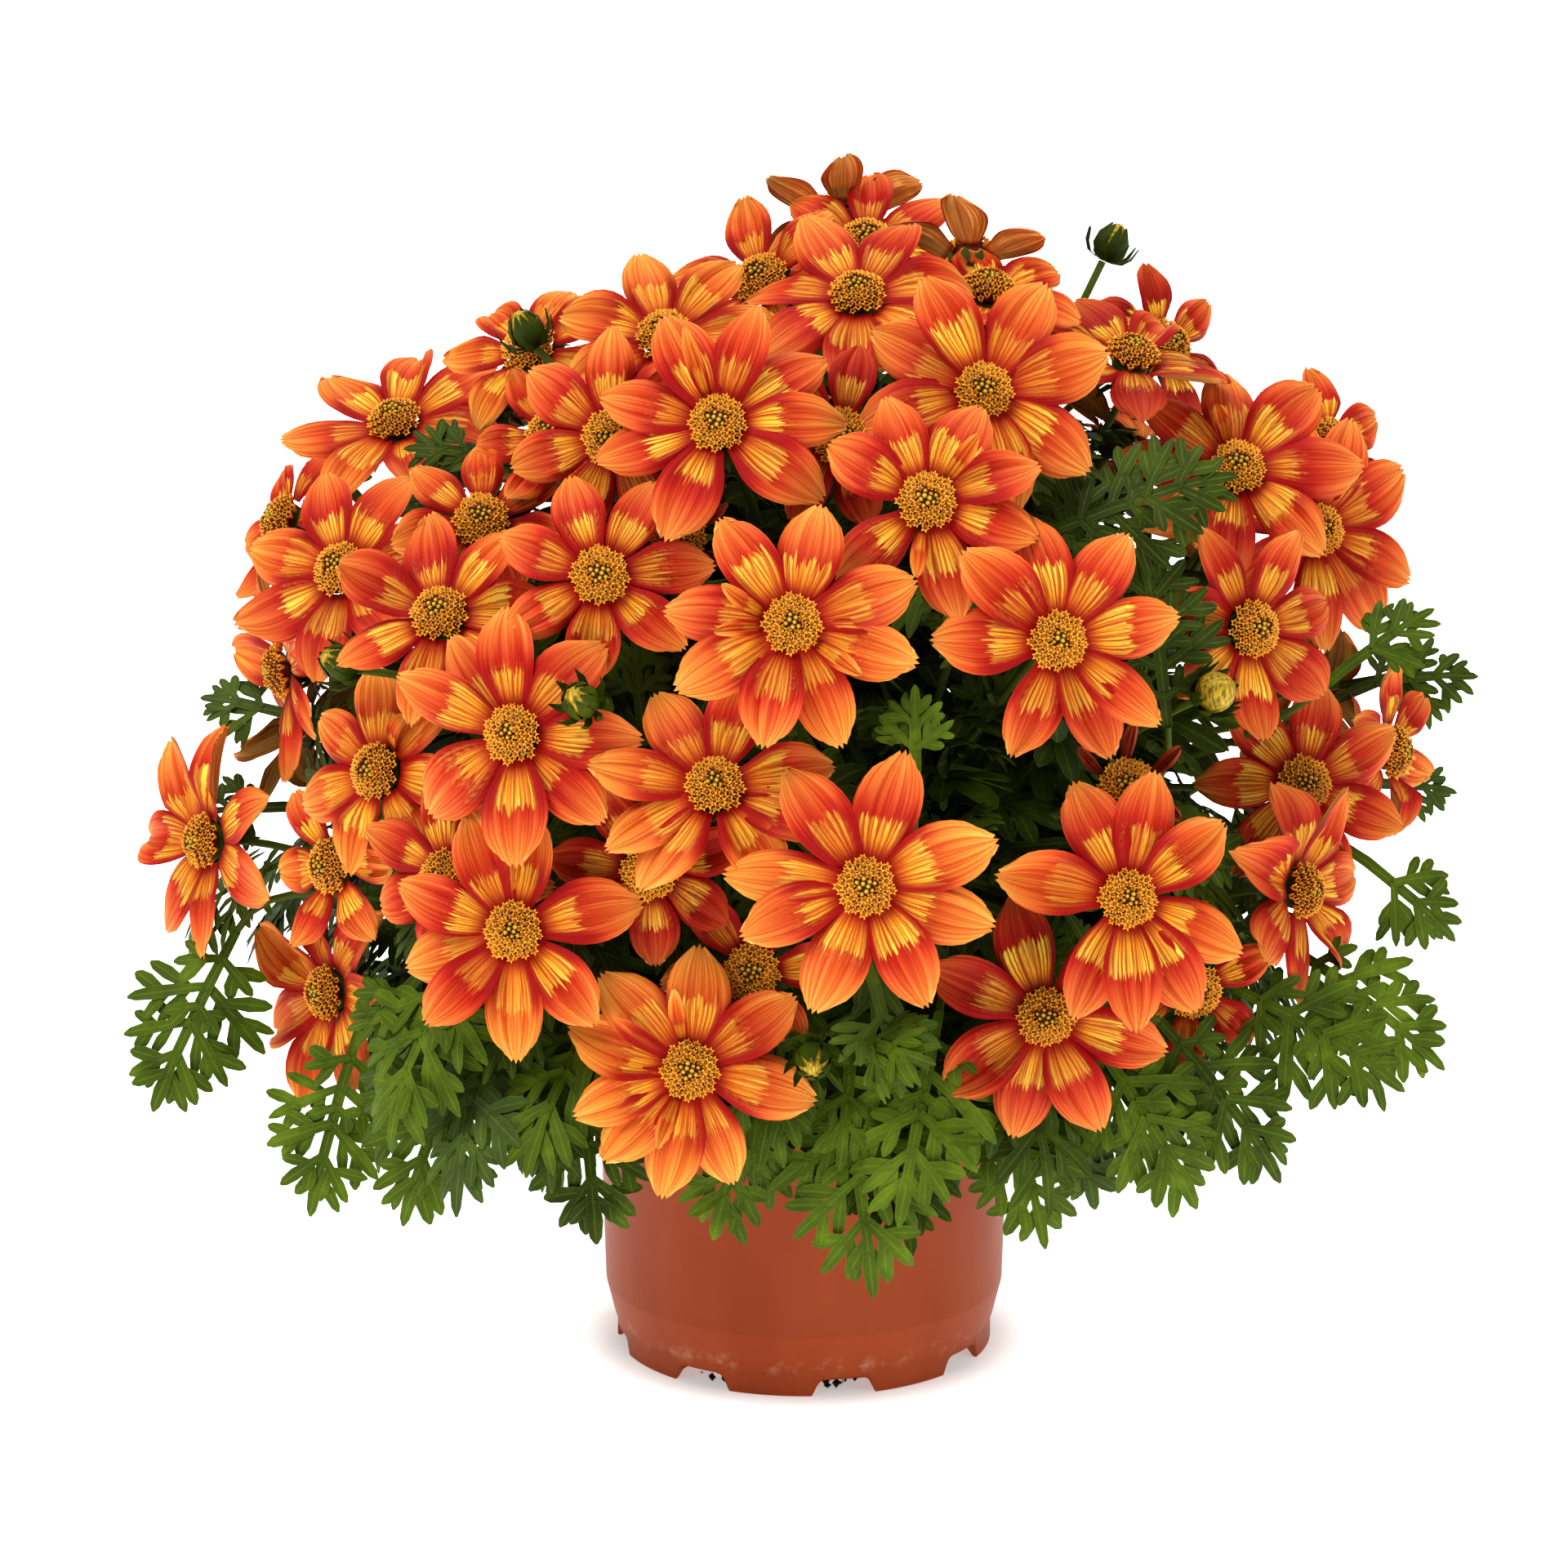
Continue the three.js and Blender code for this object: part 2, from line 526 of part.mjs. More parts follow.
function leafSolid(stalk, heading, normal, { length, pairs }, seed) {
  const draw = draws(seed);
  const lobes = LOBES.slice(LOBES.length - pairs);
  const base = stalk.at(-1);
  const z = normal.clone().projectOnPlane(heading).normalize();
  const x = heading.clone().cross(z);
  const turnTo = new THREE.Matrix4().makeBasis(x, heading, z);
  const droop = 0.2 + 0.3 * draw();
  const points = [];
  const triangles = [];
  const add = (x, y, lift = 0) => {
    const height = LEAF.rise * y - (droop * y * y + LEAF.roll * x * x) / length;
    return points.push(V(x, y, height + lift).applyMatrix4(turnTo).add(base)) - 1;
  };
  const rib = (y) => ({ y, top: add(0, y, LEAF.thickness / 2), under: add(0, y, -LEAF.thickness / 2) });
  const face = (a, b, c) => {
    triangles.push([a.top ?? a, b.top ?? b, c.top ?? c], [a.under ?? a, c.under ?? c, b.under ?? b]);
  };
  const fan = (apex, loop) => loop.slice(1).forEach((next, k) => face(apex, loop[k], next));
  const lobe = (apex, angle, reach) => {
    const width = LEAF.lobeHalfWidth * (0.85 + 0.3 * draw());
    const at = (share, aside) =>
      add(
        Math.sin(angle) * reach * share + Math.cos(angle) * aside,
        apex.y + Math.cos(angle) * reach * share - Math.sin(angle) * aside,
      );
    return [at(0.6, width), at(1, 0), at(0.6, -width)];
  };
  const root = rib(0);
  const ribs = lobes.map(({ along }) => rib(along * length));
  const between = ribs.map((one, i) => (i ? (one.y + ribs[i - 1].y) / 2 : one.y - LEAF.sinus));
  const notches = [...between, ribs.at(-1).y + LEAF.sinus].map((y) => ({
    right: add(LEAF.webHalfWidth, y),
    left: add(-LEAF.webHalfWidth, y),
  }));
  const foot = { right: add(STEM.peduncle, 0), left: add(-STEM.peduncle, 0) };
  fan(root, [foot.right, notches[0].right, ribs[0], notches[0].left, foot.left]);
  const round = (point, i) => {
    const ahead = stalk[i + 1].clone().sub(stalk[Math.max(i - 1, 0)]).normalize();
    const tilt = new THREE.Quaternion().setFromUnitVectors(heading, ahead);
    return [x, z, x, z].map((way, k) => {
      const reach = k < 2 ? STEM.peduncle : -STEM.peduncle;
      const corner = way.clone().applyQuaternion(tilt).multiplyScalar(reach);
      return points.push(corner.add(point)) - 1;
    });
  };
  const rings = [...stalk.slice(0, -1).map(round), [foot.right, root.top, foot.left, root.under]];
  rings.slice(1).forEach((next, i) =>
    next.forEach((_, k) => {
      const [a, b, c, d] = [rings[i][k], rings[i][(k + 1) % 4], next[(k + 1) % 4], next[k]];
      triangles.push([a, c, b], [a, d, c]);
    }),
  );
  const [right, top, left, under] = rings[0];
  triangles.push([right, top, left], [right, left, under]);
  ribs.forEach((apex, i) => {
    const { angle, length: share } = lobes[i];
    const [low, high] = [notches[i], notches[i + 1]];
    fan(apex, [low.right, ...lobe(apex, angle + rad(12) * (draw() - 0.5), share * length), high.right]);
    fan(apex, [high.left, ...lobe(apex, -angle + rad(12) * (draw() - 0.5), share * length), low.left]);
    if (i + 1 < ribs.length) fan(apex, [high.right, ribs[i + 1], high.left]);
    else fan(apex, [high.right, ...lobe(apex, 0, length - apex.y), high.left]);
  });
  return faceted(points, triangles);
}

// Leaves on the front, as [across, up, proud, heading, length]. heading is where the leaf points,
// in degrees clockwise from straight up.

const LEAVES = [
  [-134, -36, 0, 205, 48],
  [-104, -60, 0, 195, 46],
  [-76, -58, -18, 200, 50],
  [-50, -62, -22, 175, 48],
  [-4, -60, -34, 195, 50],
  [14, -66, -24, 172, 56],
  [38, -56, -24, 150, 50],
  [52, -66, -26, 165, 46],
  [74, -60, -20, 160, 48],
  [92, -58, -14, 140, 46],
  [110, -50, -6, 145, 46],
  [124, -40, 0, 125, 46],
  [132, -12, -14, 125, 40],
  [130, 22, -14, 50, 34],
  [66, 62, -16, 12, 44],
  [78, 44, -30, -20, 34],
  [94, 14, -20, 20, 44],
  [32, -8, -10, 0, 30],
  [-62, 78, -44, -20, 30],
  [136, 24, -30, 70, 34],
  [-112, -6, -80, -90, 34],
  [-80, -38, -20, 225, 34],
];

// Leaves round the back, which hang from under the dome of blooms, as [turn, lift]
const BACK_LEAVES = [
  ...[98, 126, 154, 182, 210, 238, 264].map((turn) => [turn, -18]),
  ...[130, 180, 230].map((turn) => [turn, 20]),
  ...[100, 180, 260].map((turn) => [turn, 66]),
];
const LEAF_TURNS = [0, 14, -14, 28, -28, 42, -42, 60, -60].map(rad);
const LEAF_LEANS = [0.2, 0.5, -0.1];
const BACK_LEAF = { length: 52, reach: 0.8, level: 0.2, pairs: 2 };

// A leaf stands clear of everything at the first of these turns and leans that has room for it
function leaf(base, towards, out, form, seed) {
  const normal = out.clone().add(V(0, -0.2, 0.5));
  for (const lean of LEAF_LEANS) {
    for (const turn of LEAF_TURNS) {
      const heading = towards.clone().applyAxisAngle(out, turn).addScaledVector(out, lean).normalize();
      const stub = [base.clone().addScaledVector(heading, -1), base];
      const blade = leafSolid(stub, heading, normal, form, seed);
      if (crosses(blade, [pot, soil, ...blooms, ...greens.map((green) => green.solid)])) continue;
      if (grow(base, heading, (points) => leafSolid(points, heading, normal, form, seed))) return;
    }
  }
  throw new Error("no room for a leaf");
}

// The pot: a thin shell with a stepped rim, a wall that draws in to a lip above its foot, and drain
// notches round the foot

function latheSolid(profile, sides) {
  const points = profile.map(([radius, height]) => new THREE.Vector2(radius, height));
  return solidOf(new THREE.LatheGeometry(points, sides).rotateX(Math.PI / 2));
}

function potSolid() {
  const { height, rimRadius, rimBand, rimStep, bellyRadius, bellyHeight, wall, floor, sides } = POT;
  const { lipRadius, lipHeight, footRadius } = POT;
  const shoulder = rimRadius - rimStep;
  const shell = latheSolid(
    [
      [0, floor - wall],
      [footRadius - 2 * wall, floor - wall],
      [footRadius - wall, 0],
      [footRadius, 0],
      [footRadius, lipHeight - 0.8],
      [lipRadius, lipHeight],
      [bellyRadius, bellyHeight],
      [shoulder - 0.3, height - rimBand],
      [rimRadius - 0.3, height - rimBand + 0.8],
      [rimRadius, height],
      [rimRadius - wall, height],
      [rimRadius - wall - 0.3, height - rimBand + 1.6],
      [shoulder - wall - 0.3, height - rimBand + 0.8],
      [bellyRadius - wall, bellyHeight],
      [lipRadius - wall, lipHeight + 0.6],
      [footRadius - wall, floor],
      [0, floor],
    ],
    sides,
  );
  const arch = new THREE.Shape();
  arch.moveTo(-NOTCH.width / 2, -1);
  arch.lineTo(NOTCH.width / 2, -1);
  arch.lineTo(NOTCH.width / 2 - NOTCH.slope, NOTCH.height);
  arch.lineTo(-NOTCH.width / 2 + NOTCH.slope, NOTCH.height);
  const cut = new THREE.ExtrudeGeometry(arch, { depth: 8, bevelEnabled: false, steps: 1 });
  cut.translate(0, 0, footRadius - 5).rotateX(Math.PI / 2);
  return ring(NOTCH.count, 0).reduce(
    (pot, turn) => pot.subtract(solidOf(cut.clone().rotateZ(rad(turn) + NOTCH.firstAt))),
    shell,
  );
}

function soilSolid() {
  const { top, crown, gap, sides, holeDepth } = SOIL;
  const inside = POT.wall + gap;
  const wallAt = (height) =>
    THREE.MathUtils.mapLinear(
      height,
      POT.bellyHeight,
      POT.height - POT.rimBand,
      POT.bellyRadius,
      POT.rimRadius - POT.rimStep - 0.3,
    ) - inside;
  const body = latheSolid(
    [
      [0, POT.floor + gap],
      [POT.footRadius - inside, POT.floor + gap],
      [POT.footRadius - inside, POT.lipHeight],
      [wallAt(POT.bellyHeight), POT.bellyHeight],
      [wallAt(top), top],
      [0, top + crown],
    ],
    sides,
  );
  return PLANTS.reduce((rest, { root }) => {
    const hole = new THREE.CylinderGeometry(STEM.root + 0.7, STEM.root + 0.7, 2 * holeDepth + 4, 6);
    hole.rotateX(Math.PI / 2).translate(root.x, root.y, top + 2);
    return rest.subtract(solidOf(hole));
  }, body);
}

const pot = potSolid();
const soil = soilSolid();

LEAVES.forEach(([across, up, proud, heading, length], i) => {
  const { point } = onDome(across, up, proud);
  const towards = V(Math.sin(rad(heading)), 0, 0).addScaledVector(upInView, Math.cos(rad(heading)));
  leaf(point, towards, toViewer, { length, pairs: length < 43 ? 2 : 3 }, i + 1);
});
BACK_LEAVES.forEach(([turn, lift], i) => {
  const out = outward(rad(turn), rad(lift));
  const point = out.clone().multiply(V(DOME.radius, DOME.radius, DOME.rise));
  point.multiplyScalar(BACK_LEAF.reach).add(V(0, 0, DOME.centreHeight));
  const level = out.setZ(0).normalize();
  const towards = V(0, 0, -1).lerp(level, BACK_LEAF.level).normalize();
  leaf(point, towards, level, BACK_LEAF, LEAVES.length + i + 1);
});

const plants = PLANTS.map((_, plant) =>
  joined(greens.filter((green) => green.plant === plant).map((green) => green.solid)),
);

const finish = (color, roughness) => new THREE.MeshStandardMaterial({ color, roughness, metalness: 0 });
const two = (number) => String(number + 1).padStart(2, "0");
const part = new THREE.Group();
part.add(meshOf(pot, "pot", finish("#93482c", 0.5)));
part.add(meshOf(soil, "soil", finish("#3a2a20", 0.95)));
plants.forEach((solid, i) => part.add(meshOf(solid, `leafy_plant_${i + 1}`, finish("#4c7a1e", 0.7))));
blooms.forEach((solid, i) => part.add(meshOf(solid, `bloom_${two(i)}`, finish("#ec6a2c", 0.6))));
export default part;
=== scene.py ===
import math

import bpy
import numpy as np
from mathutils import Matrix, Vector
from mathutils.bvhtree import BVHTree
from mathutils.kdtree import KDTree


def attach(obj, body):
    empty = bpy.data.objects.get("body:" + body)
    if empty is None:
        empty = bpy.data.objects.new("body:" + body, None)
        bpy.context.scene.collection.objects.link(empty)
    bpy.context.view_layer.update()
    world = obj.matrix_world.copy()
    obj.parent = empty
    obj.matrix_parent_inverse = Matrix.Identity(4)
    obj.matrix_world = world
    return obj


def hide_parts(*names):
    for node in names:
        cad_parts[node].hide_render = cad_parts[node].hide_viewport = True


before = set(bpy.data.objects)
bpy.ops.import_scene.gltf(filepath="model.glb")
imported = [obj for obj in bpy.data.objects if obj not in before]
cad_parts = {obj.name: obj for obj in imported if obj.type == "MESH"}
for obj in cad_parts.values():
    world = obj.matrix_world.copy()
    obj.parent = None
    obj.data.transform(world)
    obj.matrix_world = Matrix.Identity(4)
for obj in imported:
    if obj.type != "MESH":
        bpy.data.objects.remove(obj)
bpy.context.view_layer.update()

# Every size below is in millimetres, and every angle in degrees.

# The pot
# A thin nursery pot, thermoformed from one sheet of polypropylene. The mould leaves a stepped rim, a
# lip just above the foot and arched drain notches round it.

MM = 0.001
POT = {
    "height": 80,
    "rim_radius": 53,
    "rim_band": 11,
    "rim_step": 1.8,
    "belly_radius": 49.4,
    "belly_height": 16,
    "lip_radius": 47.2,
    "lip_height": 7.2,
    "foot_radius": 46.6,
    "wall": 1.2,
    "floor": 3.6,
    "sides": 160,
    "bend": 0.5,
}
NOTCH = {"count": 8, "width": 17, "slope": 2.6, "height": 4.4, "first_at": 12, "corner": 1.8}
LIP_SCUFFS = {"from": 4.5, "fullest": 7.5, "to": 11}


def linear(colour):
    """A colour given as sRGB hex, in the linear values that a shader takes."""
    parts = [int(colour[i : i + 2], 16) / 255 for i in (1, 3, 5)]
    return [*(c / 12.92 if c <= 0.04045 else ((c + 0.055) / 1.055) ** 2.4 for c in parts), 1.0]


def add_node(material, kind, settings=None, stops=None, take=0, **inputs):
    """Adds a node and returns its first output, or the one that take says. settings are the node's own
    values, stops are a colour ramp's (position, hex colour) pairs, and each input is given by its name,
    or as in_0, in_1 and so on."""
    made = material.node_tree.nodes.new(kind)
    for name, value in (settings or {}).items():
        setattr(made, name, value)
    for _ in (stops or [])[2:]:
        made.color_ramp.elements.new(0.5)
    for i, (position, colour) in enumerate(stops or []):
        made.color_ramp.elements[i].position = position
        made.color_ramp.elements[i].color = linear(colour)
    for name, value in inputs.items():
        socket = made.inputs[int(name[3:]) if name.startswith("in_") else name.replace("_", " ")]
        if isinstance(value, bpy.types.NodeSocket):
            material.node_tree.links.new(value, socket)
        else:
            socket.default_value = value
    return made.outputs[take]


def new_material(name, **surface):
    """A material with a Principled surface, and that surface's node."""
    material = bpy.data.materials.new(name)
    material.use_nodes = True
    shader = material.node_tree.nodes["Principled BSDF"]
    for key, value in surface.items():
        shader.inputs[key.replace("_", " ")].default_value = value
    return material, shader


def place_in_mm(material):
    """A point's own place on the piece, in millimetres, so that a pattern's scale is a real size."""
    place = add_node(material, "ShaderNodeTexCoord", take="Object")
    return add_node(material, "ShaderNodeVectorMath", {"operation": "SCALE"}, in_0=place, Scale=1 / MM)


class Surfaces:
    """Surfaces gathered for one piece. Each has a finish, and a number for each mark at its points."""

    def __init__(self, *marks):
        self.points, self.faces, self.finishes = [], [], []
        self.marks = {mark: [] for mark in marks}
        self.count = 0

    def add(self, points, faces, finish=0, **marks):
        points = np.asarray(points, float).reshape(-1, 3)
        self.points.append(points)
        self.faces += [[corner + self.count for corner in face] for face in faces]
        self.finishes += [finish] * len(faces)
        for mark, values in self.marks.items():
            values.append(np.broadcast_to(np.ravel(marks.get(mark, 0.0)), len(points)))
        self.count += len(points)

    def build(self, name, materials, sharp=60):
        mesh = bpy.data.meshes.new(name)
        mesh.from_pydata((np.concatenate(self.points) * MM).tolist(), [], self.faces)
        for mark, values in self.marks.items():
            layer = mesh.attributes.new(mark, "FLOAT", "POINT")
            layer.data.foreach_set("value", np.concatenate(values).astype(np.float32))
        for material in materials:
            mesh.materials.append(material)
        mesh.polygons.foreach_set("material_index", self.finishes)
        mesh.shade_smooth()
        mesh.set_sharp_from_angle(angle=math.radians(sharp))
        piece = bpy.data.objects.new(name, mesh)
        bpy.context.scene.collection.objects.link(piece)
        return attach(piece, "root")


def hand_over(piece, nodes):
    """Hides the CAD nodes that the piece stands for. The piece itself is not used."""
    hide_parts(*nodes)


def turned(profile, sides):
    """The surface of a profile of (radius, height), from axis to axis, turned round Z."""
    turns = np.arange(sides) * 2 * math.pi / sides
    radii, heights = np.array(profile[1:-1], float).T
    rings = [np.outer(np.cos(turns), radii), np.outer(np.sin(turns), radii), np.tile(heights, (sides, 1))]
    ends = [(0, 0, profile[0][1]), (0, 0, profile[-1][1])]
    n = len(radii)
    faces = []
    for i in range(sides):
        here, there = i * n, (i + 1) % sides * n
        faces += [[here + k, there + k, there + k + 1, here + k + 1] for k in range(n - 1)]
        faces += [[sides * n, there, here], [sides * n + 1, here + n - 1, there + n - 1]]
    return np.concatenate([np.stack(rings, -1).reshape(-1, 3), ends]), faces


def rounded(corners, radius, closed=False, steps=3):
    """An outline with its corners eased by short curves."""
    corners = [np.array(corner, float) for corner in corners]
    points = [] if closed else [corners[0]]
    for i in range(len(corners)) if closed else range(1, len(corners) - 1):
        before, after = corners[i - 1] - corners[i], corners[(i + 1) % len(corners)] - corners[i]
        ease = min(radius, 0.45 * np.linalg.norm(before), 0.45 * np.linalg.norm(after))
        start = corners[i] + before / np.linalg.norm(before) * ease
        end = corners[i] + after / np.linalg.norm(after) * ease
        ts = np.linspace(0, 1, steps + 1)
        points += [(1 - t) ** 2 * start + 2 * t * (1 - t) * corners[i] + t * t * end for t in ts]
    return points if closed else [*points, corners[-1]]


# What a Math node does, and a Mix node that blends colours
ADD, SUBTRACT, MULTIPLY = {"operation": "ADD"}, {"operation": "SUBTRACT"}, {"operation": "MULTIPLY"}
MULTIPLY_ADD = {"operation": "MULTIPLY_ADD"}
COLOURS = {"data_type": "RGBA"}

# Thermoformed polypropylene in terracotta brown: a soft, even gloss, faint clouds drawn down the
# wall, and pale dusty scuffs just above the lip, where the pot was stacked and handled. The wall is
# also painted paler the lower it is, a painted glow of light from below.
pot_plastic, shader = new_material("thermoformed_polypropylene", Roughness=0.45, IOR=1.49)
shader.inputs["Specular IOR Level"].default_value = 0.28
place = place_in_mm(pot_plastic)
height = add_node(pot_plastic, "ShaderNodeSeparateXYZ", Vector=place, take="Z")
drawn = add_node(pot_plastic, "ShaderNodeMapping", Vector=place, Scale=(0.05, 0.05, 0.015))
clouds = add_node(pot_plastic, "ShaderNodeTexNoise", Vector=drawn, Scale=1.0, Detail=3.0)
# Painted glow: the lower the wall, the paler its colour, standing in for light from below
painted_glow_and_clouds = add_node(pot_plastic, "ShaderNodeMath", MULTIPLY_ADD, in_0=height, in_1=-0.005, in_2=0.22)
painted_glow_and_clouds = add_node(pot_plastic, "ShaderNodeMath", ADD, in_0=painted_glow_and_clouds, in_1=clouds)
browns = [(0.2, "#95390d"), (0.5, "#9d3f10"), (0.8, "#a74a1a")]
wall_colour = add_node(pot_plastic, "ShaderNodeValToRGB", stops=browns, Fac=painted_glow_and_clouds)
lowest, fullest, highest = LIP_SCUFFS["from"], LIP_SCUFFS["fullest"], LIP_SCUFFS["to"]
rising = add_node(pot_plastic, "ShaderNodeMapRange", Value=height, From_Min=lowest, From_Max=fullest)
falling = add_node(pot_plastic, "ShaderNodeMapRange", Value=height, From_Min=highest, From_Max=fullest)
near_lip = add_node(pot_plastic, "ShaderNodeMath", MULTIPLY, in_0=rising, in_1=falling)
dust = add_node(pot_plastic, "ShaderNodeTexNoise", Vector=place, Scale=0.16, Detail=6.0, Roughness=0.72)
patches = add_node(
    pot_plastic, "ShaderNodeMapRange", Value=dust, From_Min=0.5, From_Max=0.74, To_Max=0.75
)
scuffs = add_node(pot_plastic, "ShaderNodeMath", MULTIPLY, in_0=near_lip, in_1=patches)
pale = linear("#c79a80")
scuffed = add_node(pot_plastic, "ShaderNodeMix", COLOURS, Factor=scuffs, in_6=wall_colour, in_7=pale, take=2)
pot_plastic.node_tree.links.new(scuffed, shader.inputs["Base Color"])
sheet_grain = add_node(pot_plastic, "ShaderNodeTexNoise", Vector=place, Scale=1.6, Detail=4.0)
grain_bump = add_node(pot_plastic, "ShaderNodeBump", Height=sheet_grain, Strength=0.06, Distance=0.0004)
pot_plastic.node_tree.links.new(grain_bump, shader.inputs["Normal"])

shoulder = POT["rim_radius"] - POT["rim_step"]
band = POT["height"] - POT["rim_band"]
pot_profile = [
    (0, POT["floor"] - POT["wall"]),
    (POT["foot_radius"] - 2 * POT["wall"], POT["floor"] - POT["wall"]),
    (POT["foot_radius"] - POT["wall"], 0),
    (POT["foot_radius"], 0),
    (POT["foot_radius"], POT["lip_height"] - 0.8),
    (POT["lip_radius"], POT["lip_height"]),
    (POT["belly_radius"], POT["belly_height"]),
    (shoulder - 0.3, band),
    (POT["rim_radius"] - 0.3, band + 0.8),
    (POT["rim_radius"], POT["height"]),
    (POT["rim_radius"] - POT["wall"], POT["height"]),
    (POT["rim_radius"] - POT["wall"] - 0.3, band + 1.6),
    (shoulder - POT["wall"] - 0.3, band + 0.8),
    (POT["belly_radius"] - POT["wall"], POT["belly_height"]),
    (POT["lip_radius"] - POT["wall"], POT["lip_height"] + 0.6),
    (POT["foot_radius"] - POT["wall"], POT["floor"]),
    (0, POT["floor"]),
]
pot_sheet = Surfaces()
pot_sheet.add(*turned(rounded(pot_profile, POT["bend"]), POT["sides"]))
pot = pot_sheet.build("plastic_pot", [pot_plastic], sharp=35)

half, above = NOTCH["width"] / 2, NOTCH["width"] / 2 - NOTCH["slope"]
arch = [(-half - 2, -4), (half + 2, -4), (half, -1), (above, NOTCH["height"]), (-above, NOTCH["height"])]
arch = rounded([*arch, (-half, -1)], NOTCH["corner"], closed=True)
arches = Surfaces()
for i in range(NOTCH["count"]):
    turn = math.radians(NOTCH["first_at"] + i * 360 / NOTCH["count"])
    out = np.array([math.sin(turn), -math.cos(turn), 0])
    aside = np.array([math.cos(turn), math.sin(turn), 0])
    near = [aside * x + out * (POT["foot_radius"] - 5) + np.array([0, 0, z]) for x, z in arch]
    far = [point + out * 8 for point in near]
    n = len(arch)
    sides = [[k, (k + 1) % n, n + (k + 1) % n, n + k] for k in range(n)]
    arches.add(near + far, [*sides, [*reversed(range(n))], [*range(n, 2 * n)]])
arch_block = arches.build("drain_arches", [])
boolean = pot.modifiers.new("drain_notches", "BOOLEAN")
boolean.operation = "DIFFERENCE"
boolean.solver = "EXACT"
boolean.object = arch_block
bpy.context.view_layer.update()
pot.data = bpy.data.meshes.new_from_object(pot.evaluated_get(bpy.context.evaluated_depsgraph_get()))
pot.modifiers.clear()
bpy.data.objects.remove(arch_block)
hand_over(pot, ["pot"])

# The soil
# Peat-based potting soil, pressed into the pot by hand and crowned a little. It is dark and matt,
# with loose crumbs of peat and bark and a few white grains of perlite.

SOIL = {"top": 66, "crown": 4, "gap": 0.4, "sides": 96, "lump": 0.9}
CRUMBS = {"count": 900, "size": (0.5, 1.6), "perlite_share": 0.06}
WASHED_OUT_AND_SHADE = {"each": 16, "spread": 6, "from": 36, "to": 42, "height": 2.2}


def draws(seed):
    """Repeatable draws between 0 and 1, the same ones that placed the solids."""
    state = seed * 7919 + 12345
    while True:
        state = state * 16807 % 2147483647
        yield state / 2147483647


# Damp peat soaks up light. Fine fibres break its colour, and the bump is the crumbs too small to model.
peat, shader = new_material("damp_peat_soil", Roughness=0.95, IOR=1.4)
place = place_in_mm(peat)
fibres = add_node(peat, "ShaderNodeTexNoise", Vector=place, Scale=0.9, Detail=6.0, Roughness=0.7)
peat_browns = [(0.3, "#17100b"), (0.55, "#2e2018"), (0.75, "#4b3728")]
peat_colour = add_node(peat, "ShaderNodeValToRGB", stops=peat_browns, Fac=fibres)
peat.node_tree.links.new(peat_colour, shader.inputs["Base Color"])
crumbling = add_node(peat, "ShaderNodeBump", Height=fibres, Strength=0.8, Distance=0.001)
peat.node_tree.links.new(crumbling, shader.inputs["Normal"])

# Perlite is puffed volcanic glass: chalky white grains.
perlite, shader = new_material("perlite", Roughness=0.8, IOR=1.5)
grains = add_node(perlite, "ShaderNodeTexNoise", Vector=place_in_mm(perlite), Scale=2.0)
whites = [(0.3, "#b9b4a8"), (0.7, "#e6e2d8")]
perlite_colour = add_node(perlite, "ShaderNodeValToRGB", stops=whites, Fac=grains)
perlite.node_tree.links.new(perlite_colour, shader.inputs["Base Color"])

inside = POT["wall"] + SOIL["gap"]
wall_heights = [POT["belly_height"], band]
wall_radii = [POT["belly_radius"] - inside, shoulder - 0.3 - inside]
foot_inside = POT["foot_radius"] - inside
soil_profile = [(0, POT["floor"] + SOIL["gap"]), (foot_inside, POT["floor"] + SOIL["gap"])]
soil_profile += [(foot_inside, POT["lip_height"])]
for height in np.linspace(POT["belly_height"], SOIL["top"], 6):
    soil_profile.append((np.interp(height, wall_heights, wall_radii), height))
surface_radius = soil_profile[-1][0]
for share in (0.9, 0.78, 0.66, 0.54, 0.42, 0.3, 0.18, 0.08, 0):
    soil_profile.append((surface_radius * share, SOIL["top"] + SOIL["crown"] * (1 - share)))
soil_points, soil_faces = turned(soil_profile, SOIL["sides"])
open_top = (soil_points[:, 2] > SOIL["top"]) * SOIL["lump"]
x, y = soil_points[:, 0], soil_points[:, 1]
lumps = np.sin(0.43 * x + 1) * np.cos(0.51 * y) + 0.6 * np.sin(1.1 * x) * np.sin(1.3 * y)
soil_points[:, 2] += open_top * lumps
soil_body = Surfaces()
soil_body.add(soil_points, soil_faces)

# A crumb is a small lump with eight uneven faces
crumb_faces = [[a, b, c] if (a + b + c) % 2 else [a, c, b] for a in (0, 1) for b in (2, 3) for c in (4, 5)]
draw = draws(11)
crumb_places = []
for _ in range(CRUMBS["count"]):
    turn, reach = 2 * math.pi * next(draw), surface_radius * math.sqrt(next(draw)) * 0.98
    crumb_places.append((turn, reach, SOIL["top"] + SOIL["crown"] * (1 - reach / surface_radius)))
# Crumbs washed out at each drain notch. They are also painted shade: dark peat under the pot's foot, where
# the notches would show the shadow under the pot
for i in range(NOTCH["count"]):
    for _ in range(WASHED_OUT_AND_SHADE["each"]):
        aside = NOTCH["first_at"] + i * 360 / NOTCH["count"] + WASHED_OUT_AND_SHADE["spread"] * (2 * next(draw) - 1)
        reach = WASHED_OUT_AND_SHADE["from"] + (WASHED_OUT_AND_SHADE["to"] - WASHED_OUT_AND_SHADE["from"]) * next(draw)
        height = 0.4 + WASHED_OUT_AND_SHADE["height"] * next(draw) * (1 - (reach - WASHED_OUT_AND_SHADE["from"]) / 12)
        crumb_places.append((math.radians(aside - 90), reach, height))
